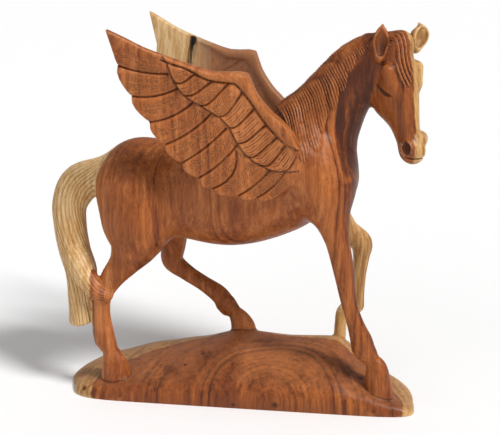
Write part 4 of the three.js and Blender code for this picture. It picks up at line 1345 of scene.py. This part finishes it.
class Grain:
    """The growth rings and the noises that make up a log's figure, each drawn out along the log."""

    def __init__(self, w):
        self.place = w.node("ShaderNodeTexCoord", {}, "Object")
        self.bent = w.swayed(self.place, 0.012, self.place, 0.4, 14, 2)
        grown = w.swayed(self.bent, 0.014, self.place, 0.6, 9, 3)
        self.radius = w.length(w.scaled(w.vector("SUBTRACT", grown, PITH), (1, 1, 0)))
        bands = {"W": self.radius, "Scale": RINGS_PER_METRE, "Detail": 5}
        self.rings = w.node("ShaderNodeTexNoise", bands, "Fac", noise_dimensions="1D")
        self.broad = w.noise(self.bent, 0.16, 34, 3)
        self.hue = w.noise(self.bent, 0.3, 22, 2)
        self.streak = w.noise(self.bent, 0.06, 230, 4, 0.62)
        self.fibre = w.noise(self.place, 0.05, 1000, 2)
        self.pores = w.ramp(w.noise(self.place, 0.06, 1700, 0), 0.28, 0.40)
        self.along = w.node("ShaderNodeSeparateXYZ", {"Vector": self.bent}, "X")
        self.along = w.plus(self.along, w.swing(self.broad, 0.03))


def toned(w, grain):
    """How pale the wood looks, with the painted shade and highlight that its vertices carry: 0 is dark and 1
    is pale.
    """
    tone_and_light = w.attribute("tone_and_light")
    for part, share in ((grain.broad, 0.9), (grain.streak, 1.1), (grain.fibre, 0.45)):
        tone_and_light = w.plus(tone_and_light, w.swing(part, share))
    clear = w.plus(w.times(w.ramp(grain.hue, 0.4, 0.62), 0.55), 0.3)
    tone_and_light = w.plus(tone_and_light, w.swing(grain.rings, clear))
    for ring in DARK_RINGS:
        off = w.math("ABSOLUTE", w.minus(grain.radius, ring))
        tone_and_light = w.minus(tone_and_light, w.times(w.fade(off, 0.0003, 0.0018), RING_SHARE))
    return tone_and_light


def heart_colour(w, tone_and_light, hue):
    middle = w.tint(HEART, ORANGE, w.ramp(hue, 0.52, 0.68), 0.6)
    middle = w.tint(middle, RED_BROWN, w.ramp(hue, 0.48, 0.34), 0.45)
    heart = w.mix(w.ramp(tone_and_light, -0.25, 0.2, smooth=False), DEEP, HEART_DARK)
    heart = w.mix(w.ramp(tone_and_light, 0.05, 0.5, smooth=False), heart, middle)
    return w.mix(w.ramp(tone_and_light, 0.5, 0.95, smooth=False), heart, HEART_PALE)


def sap_colour(w, tone_and_light):
    sap = w.mix(w.ramp(tone_and_light, 0.1, 0.5), SAP_DARK, SAP)
    return w.mix(w.ramp(tone_and_light, 0.5, 0.9), sap, SAP_PALE)


def log_reach(w, grain):
    """How far out in the log's plan a place lies: sapwood starts at HEART_EDGE."""
    plan = w.scaled(w.vector("SUBTRACT", grain.bent, HEART_CENTRE), HEART_SCALE)
    sap = w.attribute("sap")
    wing_sap = w.minus(w.fade(grain.along, WING_SAP_START, WING_SAP_END), sap)
    sap = w.plus(sap, w.times(wing_sap, w.attribute("wing")))
    reach = w.plus(w.length(plan), w.swing(sap, 1.2))
    return w.plus(reach, w.swing(grain.streak, 0.06))


def dusty(w, grain):
    """Where the wood looks greyed: the brown of the left wing's inner face and the top of the base."""
    wing = w.times(w.attribute("wing"), w.ramp(grain.along, -0.080, -0.046))
    top = w.times(w.attribute("dust"), w.ramp(grain.broad, 0.15, 0.6))
    return w.math("MAXIMUM", w.times(wing, 0.8), w.times(top, 0.55))


def marked(w, grain, colour, is_sap):
    """The colour with its pores, knots, pale ridges (wear and painted highlight), dark cuts (waxed, and
    painted shade) and bark.
    """
    wax_and_shade = w.mix(is_sap, CUT, SAP_CUT)
    colour = w.tint(colour, wax_and_shade, w.minus(1.0, grain.pores), 0.3)
    for *spot, size in KNOTS:
        gap = w.vector("DISTANCE", grain.place, [c * MM for c in spot], "Value")
        colour = w.tint(colour, CUT, w.fade(gap, 0.3 * size * MM, size * MM), 0.85)
    # The ridges are painted pale: partly wear, partly painted highlight
    colour = w.tint(colour, w.mix(is_sap, HEART_PALE, SAP_PALE), w.attribute("worn_and_lit"), 0.7)
    # The cuts are painted dark: partly waxed, partly painted shade in the hollows
    colour = w.tint(colour, wax_and_shade, w.attribute("cut"), 0.85)
    ragged = w.times(grain.streak, 0.004)
    bark = w.near_line(grain.place, CRACK_TOP, CRACK_END, CRACK_WIDTH, ragged)
    return w.mix(w.times(bark, w.ramp(grain.streak, 0.25, 0.55)), colour, BARK)


def wood():
    w = Shading("hardwood")
    grain = Grain(w)
    tone_and_light = toned(w, grain)
    reach = log_reach(w, grain)
    is_sap = w.ramp(reach, HEART_EDGE, HEART_EDGE + 0.012)
    rim = w.ramp(reach, HEART_EDGE - 0.022, HEART_EDGE - 0.004)
    heart = w.tint(heart_colour(w, tone_and_light, grain.hue), HEART_DARK, rim, 0.45)
    colour = w.mix(is_sap, heart, sap_colour(w, tone_and_light))
    colour = w.mix(dusty(w, grain), colour, DUST)
    w.put(marked(w, grain, colour, is_sap), w.shader.inputs["Base Color"])
    w.put(w.plus(w.times(grain.streak, 0.16), 0.34), w.shader.inputs["Roughness"])
    w.put(0.25, w.shader.inputs["Specular IOR Level"])
    height = w.plus(w.times(grain.fibre, 0.5), w.times(grain.pores, 0.5))
    bump = w.node("ShaderNodeBump", {"Height": height, "Strength": 0.25, "Distance": 0.3 * MM})
    w.put(bump, w.shader.inputs["Normal"])
    return w.material


# Stage, lights and camera, in metres

FLOOR_HALF = 6.0
KEY_PLACE = (0.85, -0.5, 1.1)
FILL_PLACE = (-0.8, -1.0, 0.6)
CAMERA_AZIMUTH = math.radians(8)
CAMERA_ELEVATION = math.radians(17)
CAMERA_DISTANCE = 1.2
CAMERA_TARGET = Vector((0.003, 0, 0.183))
SENSOR = 36
FRAME_WIDTH = 0.5


def floor():
    mesh = bpy.data.meshes.new("floor")
    corners = [(x * FLOOR_HALF, y * FLOOR_HALF, 0) for x, y in ((-1, -1), (1, -1), (1, 1), (-1, 1))]
    mesh.from_pydata(corners, [], [(0, 1, 2, 3)])
    paint = Shading("floor_white")
    paint.put((0.9, 0.9, 0.9, 1), paint.shader.inputs["Base Color"])
    paint.put(0.9, paint.shader.inputs["Roughness"])
    mesh.materials.append(paint.material)
    placed("floor", mesh)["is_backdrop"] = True


def turned_to(obj, way):
    """Makes a light or camera look that way."""
    obj.rotation_euler = way.to_track_quat("-Z", "Y").to_euler()


def sun(name, place, power, softness):
    """A soft light from the direction of place, seen from the horse."""
    light = bpy.data.lights.new(name, "SUN")
    light.energy = power
    light.angle = math.radians(softness)
    turned_to(placed(name, light), -Vector(place))


def lights():
    sun("key", KEY_PLACE, 3.0, 16)
    sun("fill", FILL_PLACE, 0.45, 60)
    world = bpy.data.worlds.new("studio")
    world.use_nodes = True
    background = world.node_tree.nodes["Background"]
    background.inputs["Color"].default_value = (1, 1, 1, 1)
    background.inputs["Strength"].default_value = 0.36
    bpy.context.scene.world = world
    bpy.context.scene.view_settings.view_transform = "Standard"


def camera():
    """The frame is half a metre wide at the target, so that 1 mm is one of 500 pixels."""
    data = bpy.data.cameras.new("camera")
    data.sensor_width = SENSOR
    data.lens = SENSOR * CAMERA_DISTANCE / FRAME_WIDTH
    obj = placed("camera", data)
    flat = math.cos(CAMERA_ELEVATION)
    x, y = math.sin(CAMERA_AZIMUTH) * flat, -math.cos(CAMERA_AZIMUTH) * flat
    back = Vector((x, y, math.sin(CAMERA_ELEVATION)))
    obj.location = CAMERA_TARGET + CAMERA_DISTANCE * back
    turned_to(obj, -back)
    bpy.context.scene.camera = obj


def plain(bounds):
    return [list(corner) for corner in bounds]


camera()
floor()
lights()
horse()

{"cad": plain(cad_bounds), "visual": plain(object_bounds())}
